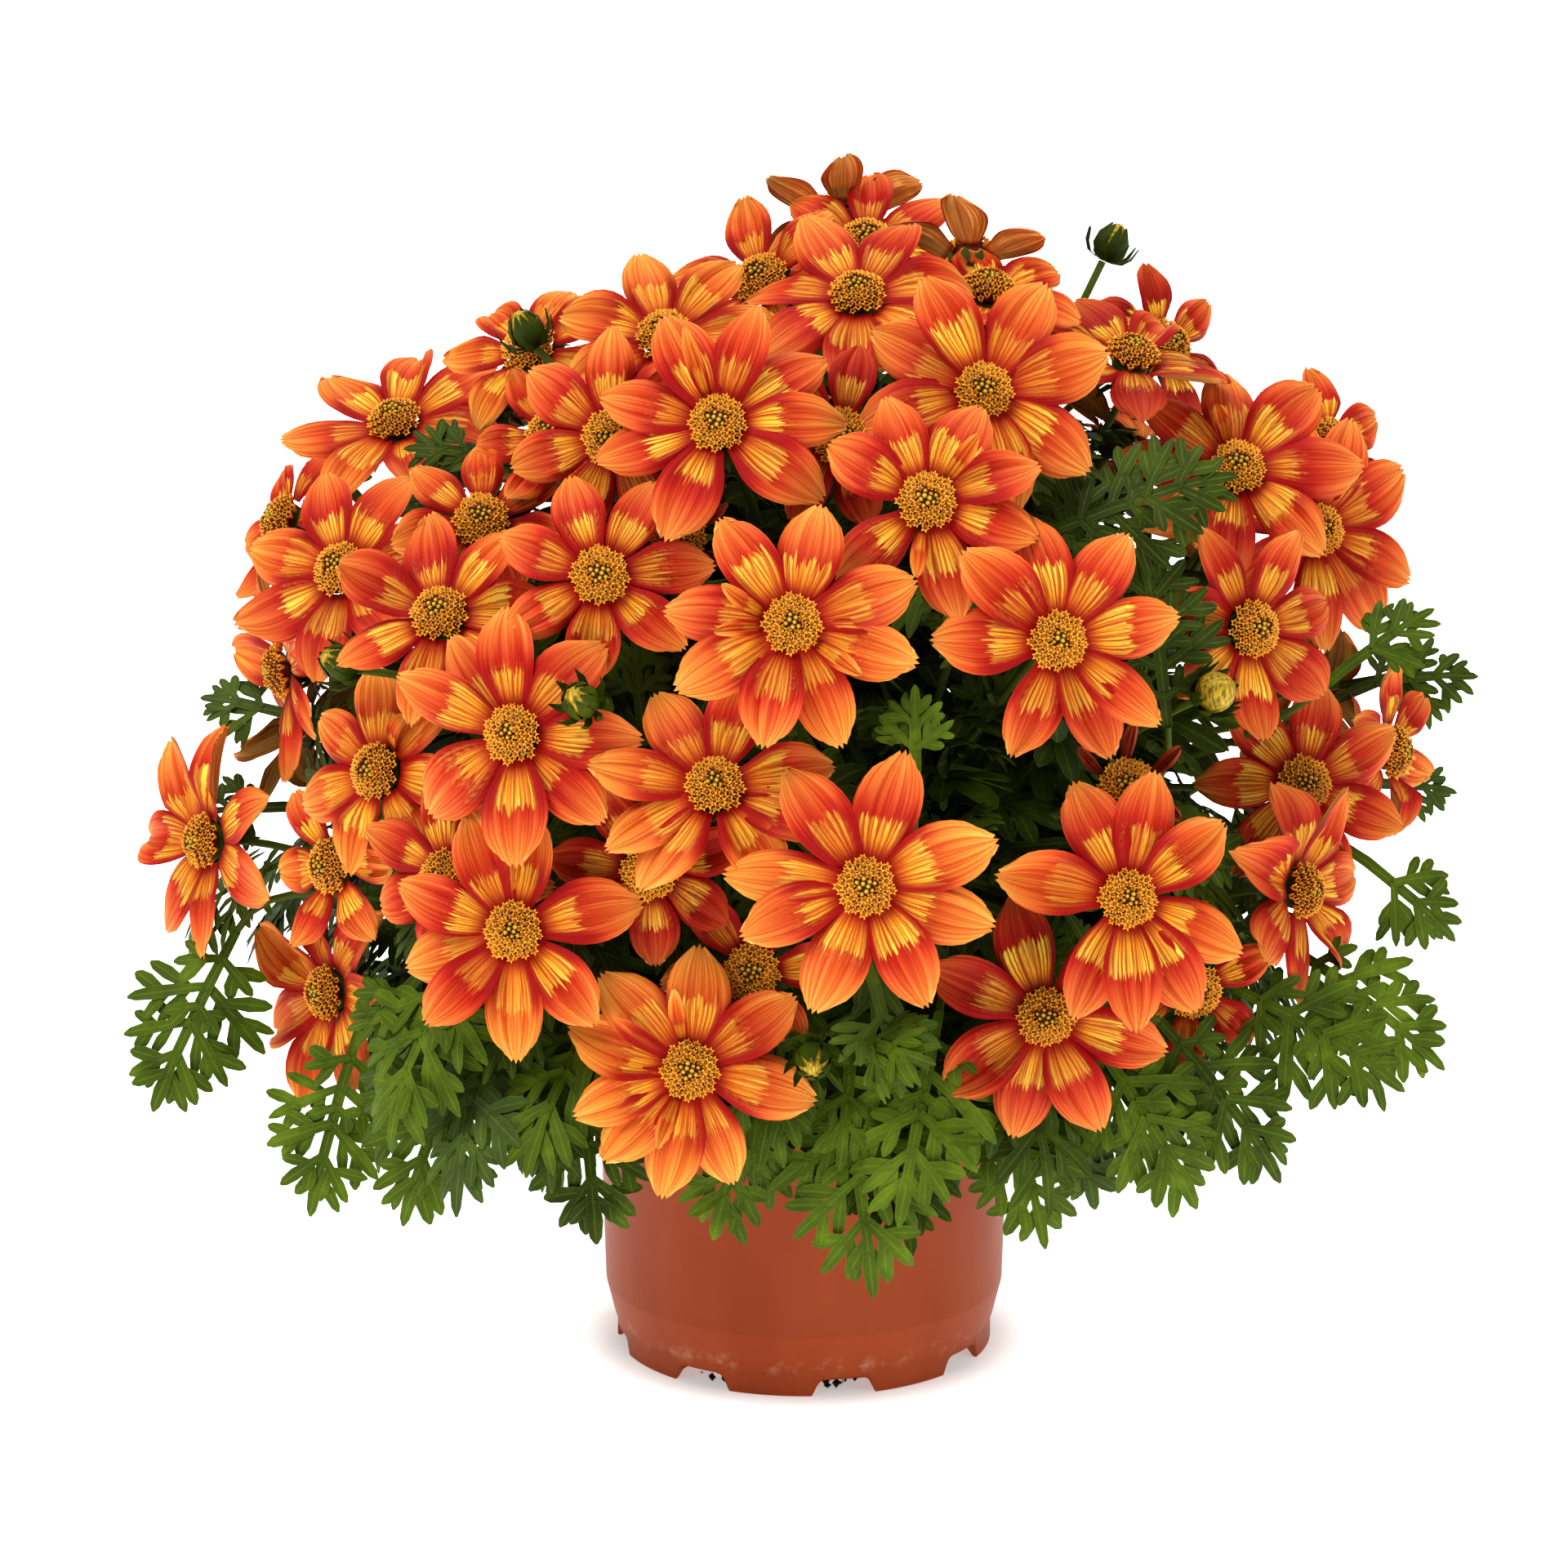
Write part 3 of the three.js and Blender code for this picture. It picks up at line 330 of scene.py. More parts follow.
for turn, reach, height in crumb_places:
    size = CRUMBS["size"][0] + (CRUMBS["size"][1] - CRUMBS["size"][0]) * next(draw) ** 2
    middle = np.array([reach * math.cos(turn), reach * math.sin(turn), height + 0.3 * size])
    ways = np.array([[1, 0, 0], [-1, 0, 0], [0, 1, 0], [0, -1, 0], [0, 0, 1], [0, 0, -1]]) * size
    ways = ways * [[0.6 + 0.6 * next(draw)] for _ in ways]
    ways[:, 0], ways[:, 1] = (
        ways[:, 0] * math.cos(turn) - ways[:, 1] * math.sin(turn),
        ways[:, 0] * math.sin(turn) + ways[:, 1] * math.cos(turn),
    )
    soil_body.add(middle + ways, crumb_faces, finish=int(next(draw) < CRUMBS["perlite_share"]))
hand_over(soil_body.build("potting_soil", [peat, perlite]), ["soil"])

# The blooms
# Each bidens bloom has six to nine orange ray petals, thin and a little pleated, round a domed disc
# of tiny florets. Where blooms crowd, the CAD part slid each bunch back along its line of sight until
# it was clear of those before it, and the places are found again here from the solids.

SURVEY = {"centre": np.array([-5.0, 0, 142]), "distance": 1500, "elevation": math.radians(14.5)}
DOME = {"centre": np.array([0.0, 0, 150]), "radii": np.array([130.0, 130, 126])}
HEART = np.array([0.0, 0, 120])
DISC = {"radius": 6.8, "rise": 4}
RAY = {
    "widest_at": 0.5,
    "tip_share": 0.18,
    "widest_angle": 24,
    "seam": 0.8,
    "length": (0.93, 0.07),
    "fall": (0.1, 0.16),
    "stagger": 4,
    "tumble": 8,
}
SLIDE = {"mate_from": 24, "most": 90}
MATCH = 0.03

to_viewer = np.array([0, -math.cos(SURVEY["elevation"]), math.sin(SURVEY["elevation"])])
up_in_view = np.array([0, math.sin(SURVEY["elevation"]), math.cos(SURVEY["elevation"])])
eye = SURVEY["centre"] + SURVEY["distance"] * to_viewer
Z = np.array([0.0, 0, 1])


def unit(way):
    return way / np.linalg.norm(way)


def across(way, axis):
    """The part of a direction that is square to an axis, at full length."""
    return unit(way - axis * way.dot(axis))


def on_dome(aside, up, proud):
    """Where the sight line through (aside, up) meets the dome of blooms, or comes nearest to it."""
    point = SURVEY["centre"] + [aside, 0, 0] + up * up_in_view
    sight = unit(eye - point)
    start, along = (point - DOME["centre"]) / DOME["radii"], sight / DOME["radii"]
    half = start.dot(along) / along.dot(along)
    rest = half**2 - (start.dot(start) - 1) / along.dot(along)
    return point + sight * (math.sqrt(max(rest, 0)) - half + proud), sight


def ring(count, first):
    """Evenly spaced turns, in degrees, from the first."""
    return [first + i * 360 / count for i in range(count)]


def seen(aside, up, yaw, pitch, span, tips, cup=8, proud=0):
    """A bloom on the front: where its disc shows from the viewpoint in mm, how far it turns to the
    right and up, its width over the petals, where their tips point, and how far they rise."""
    point, sight = on_dome(aside, up, proud)
    yaw, pitch = math.radians(yaw), math.radians(pitch)
    faces = np.array([math.sin(yaw) * math.cos(pitch), 0, 0]) + up_in_view * math.sin(pitch)
    faces = faces + to_viewer * math.cos(yaw) * math.cos(pitch)
    return {"point": point, "sight": sight, "faces": faces, "span": span, "tips": tips, "cup": cup}


FRONT = [
    [seen(20, -25, 0, 0, 65, [14, 67, 111, 149, 200, 251, 277, 328], 6, 8)],
    [seen(2, 39, 0, 5, 62, [-34, 14, 72, 109, 157, 197, 240, 278], 6, 6)],
    [seen(67, 35, 5, 0, 61, [-10, 33, 82, 129, 156, 199, 270, 316], 6, 6)],
    [seen(-66, -36, -5, 0, 61, [-26, 10, 72, 134, 179, 220, 250, 287], 6, 6)],
    [seen(84, -28, 5, 0, 62, [-22, 13, 55, 115, 149, 179, 206, 284], 6, 6)],
    [seen(-23, -70, 0, 0, 61, [-40, 8, 55, 102, 159, 190, 222, 250, 285], 4, 6)],
    [seen(-66, 12, -15, 5, 62, [-43, -9, 36, 90, 130, 170, 231, 292], 8, 2)],
    [seen(-16, 88, -5, 10, 61, [-27, 14, 52, 86, 127, 200, 253, 283], 8, 4)],
    [seen(49, 96, 0, 10, 63, [-61, -26, 27, 74, 124, 165, 210, 255], 8, 4)],
    [seen(35, 69, 0, 8, 57, [-21, 27, 68, 110, 164, 228, 300], 8, 8)],
    [seen(130, 62, 18, 5, 62, [-9, 29, 66, 116, 147, 184, 240, 295], 8)],
    [seen(-17, -1, 0, 20, 60, [-32, 15, 77, 113, 149, 212, 241, 280], 10)],
    [seen(111, 77, 0, 20, 62, [-5, 39, 85, 135, 190, 235, 276, 310], 8)],
    [seen(18, 119, -5, 40, 59, ring(7, -28), 10)],
    [seen(64, -57, 0, 0, 61, [-17, 45, 106, 157, 196, 236, 293], 6, -6)],
    [seen(126, -26, 55, 0, 60, ring(7, -10), 16)],
    [seen(-141, -14, -52, 0, 60, ring(7, 5), 16)],
    [seen(-111, -51, -50, -5, 60, ring(7, -20), 16)],
    [seen(-95, 88, -15, 45, 60, ring(7, -9), 10)],
    [seen(-84, 41, -10, 25, 56, ring(7, -19), 8)],
    [seen(-108, 52, -25, 20, 60, ring(7, -30), 10)],
    [seen(85, 104, 20, 55, 54, ring(7, 0), 14)],
    [seen(127, 0, 10, 5, 56, ring(7, 15), 8, -16)],
    [seen(114, 38, 30, 0, 54, ring(7, -20), 10)],
    [seen(50, 120, 10, 60, 48, ring(7, 10), 16), seen(46, 128, 160, 50, 46, ring(6, 0), 14, 0)],
    [seen(-45, 51, 0, 5, 54, ring(7, -20), 8, -6)],
    [seen(-82, -23, -30, -5, 50, ring(7, -15), 8, -8)],
    [seen(-99, 3, -35, 5, 54, ring(7, -15), 10, -6)],
    [seen(-42, 85, -10, -10, 54, ring(7, -5), 6, -6)],
    [seen(-29, 109, -5, 25, 56, ring(7, -18), 8, -8)],
    [seen(-33, -21, 0, -10, 48, ring(7, 20), 6, -12)],
    [seen(14, 85, 0, 5, 46, ring(7, 10), 8, -14)],
    [seen(20, 132, 0, 35, 52, ring(7, 5), 10, -8), seen(14, 139, 180, 50, 46, ring(6, 0), 10, 0)],
    [seen(-5, 123, -20, 25, 50, ring(6, -30), 12, -14)],
    [seen(100, -50, 10, -10, 42, ring(6, 10), 10, -14)],
    [seen(-122, 28, -75, -10, 56, ring(7, 10), 12, -6)],
    [seen(148, 8, 60, 0, 46, ring(6, 0), 12, -10)],
    [seen(93, 107, 40, 20, 46, ring(6, 10), 12, -26)],
    [seen(133, 83, 40, 20, 46, ring(6, 20), 12, -16)],
    [seen(-8, -46, 0, 0, 46, ring(6, 25), 8, -16)],
    [seen(-122, 64, -60, 20, 46, ring(6, 0), 8, -10)],
    [seen(-110, -20, -45, 0, 46, ring(6, 15), 10, -12)],
    [seen(-62, 106, -20, 30, 46, ring(7, 0), 10, -10)],
    [seen(-74, 64, 0, 20, 46, ring(7, 0), 8, -14), seen(-56, 85, -10, 20, 42, ring(6, 20), 8, -4)],
    [seen(84, -1, 0, 10, 30, ring(6, 0), 50, -10)],
    [seen(-26, 60, 0, 10, 28, ring(6, 0), 50, -8)],
]

# The blooms behind stand in sprays of three, in rows round the back of the dome
BACK_ROWS = [(2, [114, 154, 206, 246]), (40, [130, 182, 234])]
SPRAY = {"spread": 9.6, "splay": 0.15, "lift": 0.25, "span": (55, 6), "cup": 9}


def outward(turn, lift):
    """The way out from the bush: turn goes from the front towards the right, lift up from level."""
    turn, lift = math.radians(turn), math.radians(lift)
    return np.array([math.sin(turn) * math.cos(lift), -math.cos(turn) * math.cos(lift), math.sin(lift)])


def spray(turn, lift, draw):
    """Three blooms that stand together on the back of the dome."""
    middle = outward(turn, lift)
    side = unit(np.cross(Z, middle))
    top = np.cross(middle, side)
    blooms = []
    for around in ring(3, 120 * next(draw)):
        around, spread = math.radians(around), math.tan(math.radians(SPRAY["spread"]))
        out = unit(middle + side * spread * math.sin(around) + top * spread * math.cos(around))
        faces = unit(middle + (out - middle) * SPRAY["splay"] + Z * SPRAY["lift"])
        span = SPRAY["span"][0] + SPRAY["span"][1] * next(draw)
        tips = ring(6, 60 * next(draw))
        point = DOME["centre"] + out * DOME["radii"]
        blooms.append({"point": point, "sight": out, "faces": faces, "span": span, "tips": tips})
        blooms[-1]["cup"] = SPRAY["cup"]
    return blooms


back_draw = draws(3)
BUNCHES = FRONT + [spray(turn, lift, back_draw) for lift, turns in BACK_ROWS for turn in turns]


def petal_forms(bloom, seed):
    """The direction, length, rise, fall and spread of each petal of a bloom."""
    draw = draws(seed)
    tips = bloom["tips"]
    gaps = [(tips + [tips[0] + 360])[i + 1] - tip for i, tip in enumerate(tips)]
    reach = bloom["span"] / 2
    forms = []
    for i, tip in enumerate(tips):
        length = reach * (RAY["length"][0] + RAY["length"][1] * next(draw))
        stagger = RAY["stagger"] if i % 2 else -RAY["stagger"]
        rise = bloom["cup"] + stagger + RAY["tumble"] * (next(draw) - 0.5)
        fall = reach * (RAY["fall"][0] + RAY["fall"][1] * next(draw))
        spread = min(gaps[i - 1] / 2, gaps[i] / 2, RAY["widest_angle"]) - RAY["seam"]
        forms.append({"turn": math.radians(tip), "length": length, "slope": math.tan(math.radians(rise))})
        forms[-1].update(fall=fall, spread=math.radians(spread))
    return forms


def bloom_axes(faces):
    """A bloom's own axes: to its right, to its top, and the way that it faces."""
    top = across(np.array([0.0, 1, 0]) if abs(faces[2]) > 0.98 else Z, faces)
    return np.array([np.cross(top, faces), top, faces])


def corners(bloom, seed):
    """The corners of each petal's solid, from the bloom's middle."""
    points = []
    for form in petal_forms(bloom, seed):
        widest, tip = RAY["widest_at"], form["spread"] * RAY["tip_share"]
        for share, sway in ((widest, -form["spread"]), (1, -tip), (1, tip), (widest, form["spread"])):
            run = (form["length"] - DISC["radius"]) * share
            turn = form["turn"] + sway
            height = form["slope"] * run - form["fall"] * share**2
            run += DISC["radius"]
            points.append([run * math.sin(turn), run * math.cos(turn), height])
    return np.array(points) @ bloom_axes(bloom["faces"])


def points_of(node):
    """The vertices of a CAD node, in millimetres."""
    co = np.empty(len(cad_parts[node].data.vertices) * 3)
    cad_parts[node].data.vertices.foreach_get("co", co)
    return co.reshape(-1, 3) / MM


def settle(bunch, number):
    """Slides the blooms of a bunch to where the solid has them."""
    solid = points_of(f"bloom_{number:02d}")
    tree = KDTree(len(solid))
    for i, point in enumerate(solid):
        tree.insert(point, i)
    tree.balance()

    def score(points):
        return sum(tree.find(point)[2] < MATCH for point in points)

    back = bunch[0]["sight"]
    for i, bloom in enumerate(bunch):
        shape = corners(bloom, number * 10 + i)
        if i:
            first = bloom["point"] - slide * back
            steps = range(SLIDE["mate_from"], SLIDE["mate_from"] - SLIDE["most"] - 1, -1)
            places = [first + step * bloom["sight"] for step in steps]
        else:
            places = [bloom["point"] - k * back for k in range(SLIDE["most"])]
        scores = [score(shape + place) for place in places]
        best = int(np.argmax(scores))
        bloom["place"] = places[best]
        if i == 0:
            slide = best


for number, bunch in enumerate(BUNCHES, 1):
    settle(bunch, number)

# Every petal is one thin sheet: narrow at the disc, broadest half way, and cut into three small
# teeth at the tip, with shallow pleats that run down from the notches between them.

PETAL = {
    "rows": [-0.06, 0.04, 0.13, 0.23, 0.34, 0.45, 0.56, 0.67, 0.77, 0.86, 0.94, 1.0],
    "columns": [-1, -0.85, -2 / 3, -1 / 3, 0, 1 / 3, 2 / 3, 0.85, 1],
    "outline": [
        (-0.06, 0.46),
        (0.04, 0.58),
        (0.13, 0.72),
        (0.23, 0.86),
        (0.34, 0.96),
        (0.45, 1.0),
        (0.56, 0.98),
        (0.67, 0.9),
        (0.77, 0.76),
        (0.86, 0.6),
        (0.94, 0.42),
        (1, 0.24),
    ],
    "half_width": 0.245,
    "tooth": 0.05,
    "pleat": 0.65,
    "thickness": 0.45,
    "edge_wave": 0.7,
}
# How petals differ: the full range of each draw. FOLD says how many are folded along the middle.
UNEVEN = {"width": 0.16, "bow": 4, "camber": 0.6, "roll": 1.3, "bend": 10, "drop": 0.9}
FOLD = {"many": 0.2, "folded": 0.85, "others": 0.35}
FLORETS = {"count": 76, "radius": 5.9, "open_from": 0.36, "walls_from": 0.85, "base": 0.7}

# Blooms that differ from the rest, by bunch number: low values paint shade, so that shaded ones are
# darker and redder, and some are yellower
WARMTH_AND_SHADE = {1: 0.8, 2: 0.65, 4: 0.75, 6: 0.95, 7: 0.6, 9: 0.6, 11: 0.65, 12: 0.65, 15: 0.25, 18: 0.7}
WARMTH_AND_SHADE |= {19: 0.75, 22: 0.2, 24: 0.35, 26: 0.3, 27: 0.35, 28: 0.9, 30: 0.9, 31: 0.0, 32: 0.0}
WARMTH_AND_SHADE |= {34: 0.85, 38: 0.15, 42: 0.7, 43: 0.9}
WILTED = {45, 46}
FLUFFY = {28, 7, 4, 2, 12, 3, 5, 16}
CURLED = {2: 3, 28: 1, 6: 2, 8: 1, 10: 2, 13: 1}

ONE_NUMBER = {"noise_dimensions": "1D"}
EASED = {"interpolation_type": "SMOOTHSTEP"}

# Ray petals are a thin soft skin with a faint velvet bloom. They shade from crimson at the base
# through red to orange at the tip, with ragged golden stripes that stop half way, and fine veins.
petal_skin, shader = new_material("bidens_ray_petal", Roughness=0.58, IOR=1.4)
along, aside, warmth, wilt, petal_number, underside = (
    add_node(petal_skin, "ShaderNodeAttribute", {"attribute_name": mark}, take="Fac")
    for mark in ("along", "aside", "warmth", "wilt", "petal_number", "underside")
)
from_middle = add_node(petal_skin, "ShaderNodeMath", {"operation": "ABSOLUTE"}, in_0=aside)
streak_place = add_node(
    petal_skin,
    "ShaderNodeCombineXYZ",
    X=add_node(petal_skin, "ShaderNodeMath", MULTIPLY, in_0=aside, in_1=5.0),
    Y=add_node(petal_skin, "ShaderNodeMath", MULTIPLY, in_0=along, in_1=1.1),
    Z=add_node(petal_skin, "ShaderNodeMath", MULTIPLY, in_0=petal_number, in_1=7.3),
)
streaks = add_node(petal_skin, "ShaderNodeTexNoise", Vector=streak_place, Scale=1.0, Detail=2.0)

# The red skin shades to orange towards the tip along an uneven front, and stays crimson at the flanks
wander = add_node(petal_skin, "ShaderNodeMath", SUBTRACT, in_0=streaks, in_1=0.5)
wander = add_node(petal_skin, "ShaderNodeMath", MULTIPLY, in_0=wander, in_1=0.4)
ragged = add_node(petal_skin, "ShaderNodeMath", ADD, in_0=along, in_1=wander)
# Painted shade: the shaded ramp is a darker, redder copy of the sunlit skin, for blooms in shadow
shaded = [(0.0, "#800a08"), (0.42, "#9a1810"), (0.6, "#ae2e18"), (0.8, "#c04824"), (1.0, "#d06430")]
sunlit = [(0.0, "#a8120e"), (0.34, "#b82016"), (0.48, "#ca3c20"), (0.64, "#dc6430"), (0.82, "#ea8a3e")]
sunlit += [(1.0, "#f5aa54")]
yellow = [(0.0, "#b82a12"), (0.32, "#ce4a1e"), (0.5, "#e27a30"), (0.76, "#f09e42"), (1.0, "#f8b858")]
shaded_skin, sunlit_skin, yellow_skin = (
    add_node(petal_skin, "ShaderNodeValToRGB", stops=stops, Fac=ragged) for stops in (shaded, sunlit, yellow)
)
lit = add_node(petal_skin, "ShaderNodeMapRange", EASED, Value=warmth, From_Min=0.0, From_Max=0.5)
skin = add_node(petal_skin, "ShaderNodeMix", COLOURS, Factor=lit, in_6=shaded_skin, in_7=sunlit_skin, take=2)
golden = add_node(petal_skin, "ShaderNodeMapRange", EASED, Value=warmth, From_Min=0.5, From_Max=1.0)
skin = add_node(petal_skin, "ShaderNodeMix", COLOURS, Factor=golden, in_6=skin, in_7=yellow_skin, take=2)
low = add_node(petal_skin, "ShaderNodeMapRange", EASED, Value=ragged, From_Min=0.6, From_Max=0.25)
outer = add_node(petal_skin, "ShaderNodeMapRange", EASED, Value=from_middle, From_Min=0.3, From_Max=0.75)
flanks = add_node(petal_skin, "ShaderNodeMath", MULTIPLY, in_0=low, in_1=outer)
flanks = add_node(petal_skin, "ShaderNodeMath", MULTIPLY, in_0=flanks, in_1=0.9)
crimson = linear("#a20e0c")
skin = add_node(petal_skin, "ShaderNodeMix", COLOURS, Factor=flanks, in_6=skin, in_7=crimson, take=2)

# Each petal has a golden patch of its own length, width and strength, combed into fine stripes
petal_draws = add_node(petal_skin, "ShaderNodeTexWhiteNoise", ONE_NUMBER, W=petal_number, take="Color")
length_draw, width_draw, strength_draw = (
    add_node(petal_skin, "ShaderNodeSeparateColor", Color=petal_draws, take=part)
    for part in ("Red", "Green", "Blue")
)
patch_end = add_node(petal_skin, "ShaderNodeMath", MULTIPLY_ADD, in_0=length_draw, in_1=0.17, in_2=0.32)
patch_edge = add_node(petal_skin, "ShaderNodeMath", MULTIPLY_ADD, in_0=width_draw, in_1=0.36, in_2=0.56)
stripe_wave = add_node(petal_skin, "ShaderNodeTexNoise", Vector=streak_place, Scale=2.6, Detail=1.0)
stripe_wave = add_node(petal_skin, "ShaderNodeMath", SUBTRACT, in_0=stripe_wave, in_1=0.5)
stripe_end = add_node(
    petal_skin, "ShaderNodeMath", MULTIPLY_ADD, in_0=stripe_wave, in_1=0.36, in_2=patch_end
)
to_end = add_node(petal_skin, "ShaderNodeMath", SUBTRACT, in_0=stripe_end, in_1=along)
short_of_end = add_node(
    petal_skin, "ShaderNodeMapRange", EASED, Value=to_end, From_Min=-0.012, From_Max=0.03
)
past_base = add_node(petal_skin, "ShaderNodeMapRange", EASED, Value=along, From_Min=-0.06, From_Max=0.2)
stripes = add_node(petal_skin, "ShaderNodeMath", MULTIPLY, in_0=short_of_end, in_1=past_base)
to_edge = add_node(petal_skin, "ShaderNodeMath", SUBTRACT, in_0=patch_edge, in_1=from_middle)
within = add_node(petal_skin, "ShaderNodeMapRange", EASED, Value=to_edge, From_Min=-0.04, From_Max=0.2)
stripes = add_node(petal_skin, "ShaderNodeMath", MULTIPLY, in_0=stripes, in_1=within)
comb_sway = add_node(petal_skin, "ShaderNodeMath", MULTIPLY, in_0=streaks, in_1=14.0)
comb_wave = add_node(petal_skin, "ShaderNodeMath", MULTIPLY_ADD, in_0=aside, in_1=34.0, in_2=comb_sway)
comb_wave = add_node(petal_skin, "ShaderNodeMath", {"operation": "SINE"}, in_0=comb_wave)
comb = add_node(petal_skin, "ShaderNodeMapRange", EASED, Value=comb_wave, From_Min=-0.9, From_Max=0.3)
comb = add_node(petal_skin, "ShaderNodeMath", MULTIPLY_ADD, in_0=comb, in_1=0.7, in_2=0.3)
stripes = add_node(petal_skin, "ShaderNodeMath", MULTIPLY, in_0=stripes, in_1=comb)
strength = add_node(
    petal_skin, "ShaderNodeMath", MULTIPLY_ADD | {"use_clamp": True}, in_0=strength_draw, in_1=0.7, in_2=0.4
)
stripes = add_node(petal_skin, "ShaderNodeMath", MULTIPLY, in_0=stripes, in_1=strength)
golds = [(0.0, "#dc8420"), (0.16, "#f8b834"), (0.42, "#ffe65a")]
gold = add_node(petal_skin, "ShaderNodeValToRGB", stops=golds, Fac=along)
skin = add_node(petal_skin, "ShaderNodeMix", COLOURS, Factor=stripes, in_6=skin, in_7=gold, take=2)

# Fine veins run along the petal, and two grooves are darker, a painted shade in the pleats. The back
# is paler between its veins, partly its own colour and partly painted light shining through it.
vein_place = add_node(
    petal_skin,
    "ShaderNodeCombineXYZ",
    X=add_node(petal_skin, "ShaderNodeMath", MULTIPLY, in_0=aside, in_1=17.0),
    Y=add_node(petal_skin, "ShaderNodeMath", MULTIPLY, in_0=along, in_1=0.8),
    Z=petal_number,
)
veins = add_node(petal_skin, "ShaderNodeTexNoise", Vector=vein_place, Scale=1.0, Detail=2.0)
# Painted shade: a dark line down each of the two pleat grooves
from_groove = add_node(petal_skin, "ShaderNodeMath", SUBTRACT, in_0=from_middle, in_1=0.33)
from_groove = add_node(petal_skin, "ShaderNodeMath", {"operation": "ABSOLUTE"}, in_0=from_groove)
groove = add_node(petal_skin, "ShaderNodeMapRange", EASED, Value=from_groove, From_Min=0.07, From_Max=0.01)
groove = add_node(petal_skin, "ShaderNodeMath", MULTIPLY, in_0=groove, in_1=0.7)
veins_and_groove_shade = add_node(petal_skin, "ShaderNodeMapRange", EASED, Value=veins, From_Min=0.56, From_Max=0.42)
veins_and_groove_shade = add_node(petal_skin, "ShaderNodeMath", MULTIPLY, in_0=veins_and_groove_shade, in_1=0.6)
veins_and_groove_shade = add_node(petal_skin, "ShaderNodeMath", {"operation": "MAXIMUM"}, in_0=veins_and_groove_shade, in_1=groove)
darker = COLOURS | {"blend_type": "MULTIPLY"}
vein_tint = linear("#d8805c")
skin = add_node(petal_skin, "ShaderNodeMix", darker, Factor=veins_and_groove_shade, in_6=skin, in_7=vein_tint, take=2)
back_veins = add_node(petal_skin, "ShaderNodeMapRange", EASED, Value=veins, From_Min=0.58, From_Max=0.42)
# The back's pale gold is partly its own colour and partly painted light, the glow of light through the thin
# petal
pale, deep = linear("#ffc070"), linear("#e08a38")
back = add_node(petal_skin, "ShaderNodeMix", COLOURS, Factor=back_veins, in_6=pale, in_7=deep, take=2)
behind = add_node(petal_skin, "ShaderNodeMath", MULTIPLY, in_0=underside, in_1=0.85)
skin = add_node(petal_skin, "ShaderNodeMix", COLOURS, Factor=behind, in_6=skin, in_7=back, take=2)
wilted = add_node(petal_skin, "ShaderNodeMath", MULTIPLY, in_0=wilt, in_1=0.8)
brown = linear("#7c2614")
skin = add_node(petal_skin, "ShaderNodeMix", COLOURS, Factor=wilted, in_6=skin, in_7=brown, take=2)
petal_skin.node_tree.links.new(skin, shader.inputs["Base Color"])
vein_bump = add_node(petal_skin, "ShaderNodeBump", Height=veins, Strength=0.5, Distance=0.0004)
petal_skin.node_tree.links.new(vein_bump, shader.inputs["Normal"])
shader.inputs["Specular IOR Level"].default_value = 0.25
shader.inputs["Sheen Weight"].default_value = 0.1
shader.inputs["Sheen Roughness"].default_value = 0.4
shader.inputs["Sheen Tint"].default_value = linear("#ffb070")

# Open disc florets are waxy little golden stars, and each holds a dark brown anther tube. Closed ones
# are round olive buds, packed in spirals. All are paler at their tops.
DISC_FINISHES = [
    ("open_disc_floret", 0.5, [(0.0, "#a65408"), (0.45, "#ea9a20"), (1.0, "#ffc644")]),
    ("anther_tube", 0.55, [(0.0, "#682a06"), (1.0, "#a05c10")]),
    ("closed_disc_floret", 0.45, [(0.0, "#7a5008"), (0.6, "#b08a1c"), (1.0, "#dab03c")]),
]
BLOOM_FINISHES = [petal_skin]
for name, roughness, shades in DISC_FINISHES:
    floret, shader = new_material(name, Roughness=roughness, IOR=1.4)
    ripeness = add_node(floret, "ShaderNodeAttribute", {"attribute_name": "along"}, take="Fac")
    floret_colour = add_node(floret, "ShaderNodeValToRGB", stops=shades, Fac=ripeness)
    floret.node_tree.links.new(floret_colour, shader.inputs["Base Color"])
    BLOOM_FINISHES.append(floret)


def thin_sheet(points, thickness):
    """Both faces of a thin sheet, from a grid of its middle points. They meet in a fine edge."""
    rows, columns = points.shape[:2]
    ways_down, ways_over = np.gradient(points, axis=0), np.gradient(points, axis=1)
    normals = np.cross(ways_over, ways_down)
    normals /= np.linalg.norm(normals, axis=-1, keepdims=True) + 1e-9
    half = np.full((rows, columns, 1), thickness / 2)
    half[[0, -1]] = 0
    half[:, [0, -1]] = 0
    top = np.arange(rows * columns).reshape(rows, columns)
    under = top.copy()
    inner = (rows - 2) * (columns - 2)
    under[1:-1, 1:-1] = rows * columns + np.arange(inner).reshape(rows - 2, columns - 2)
    faces = []
    for grid, order in ((top, (0, 1, 2, 3)), (under, (3, 2, 1, 0))):
        quads = [grid[:-1, :-1], grid[:-1, 1:], grid[1:, 1:], grid[1:, :-1]]
        faces += np.stack([quads[k] for k in order], -1).reshape(-1, 4).tolist()
    upper, lower = points + normals * half, points - normals * half
    both = np.concatenate([upper.reshape(-1, 3), lower[1:-1, 1:-1].reshape(-1, 3)])
    repeated = np.concatenate([top.ravel(), top[1:-1, 1:-1].ravel()])
    is_under = np.repeat([0.0, 1.0], [rows * columns, inner])
    return both, faces, repeated, is_under


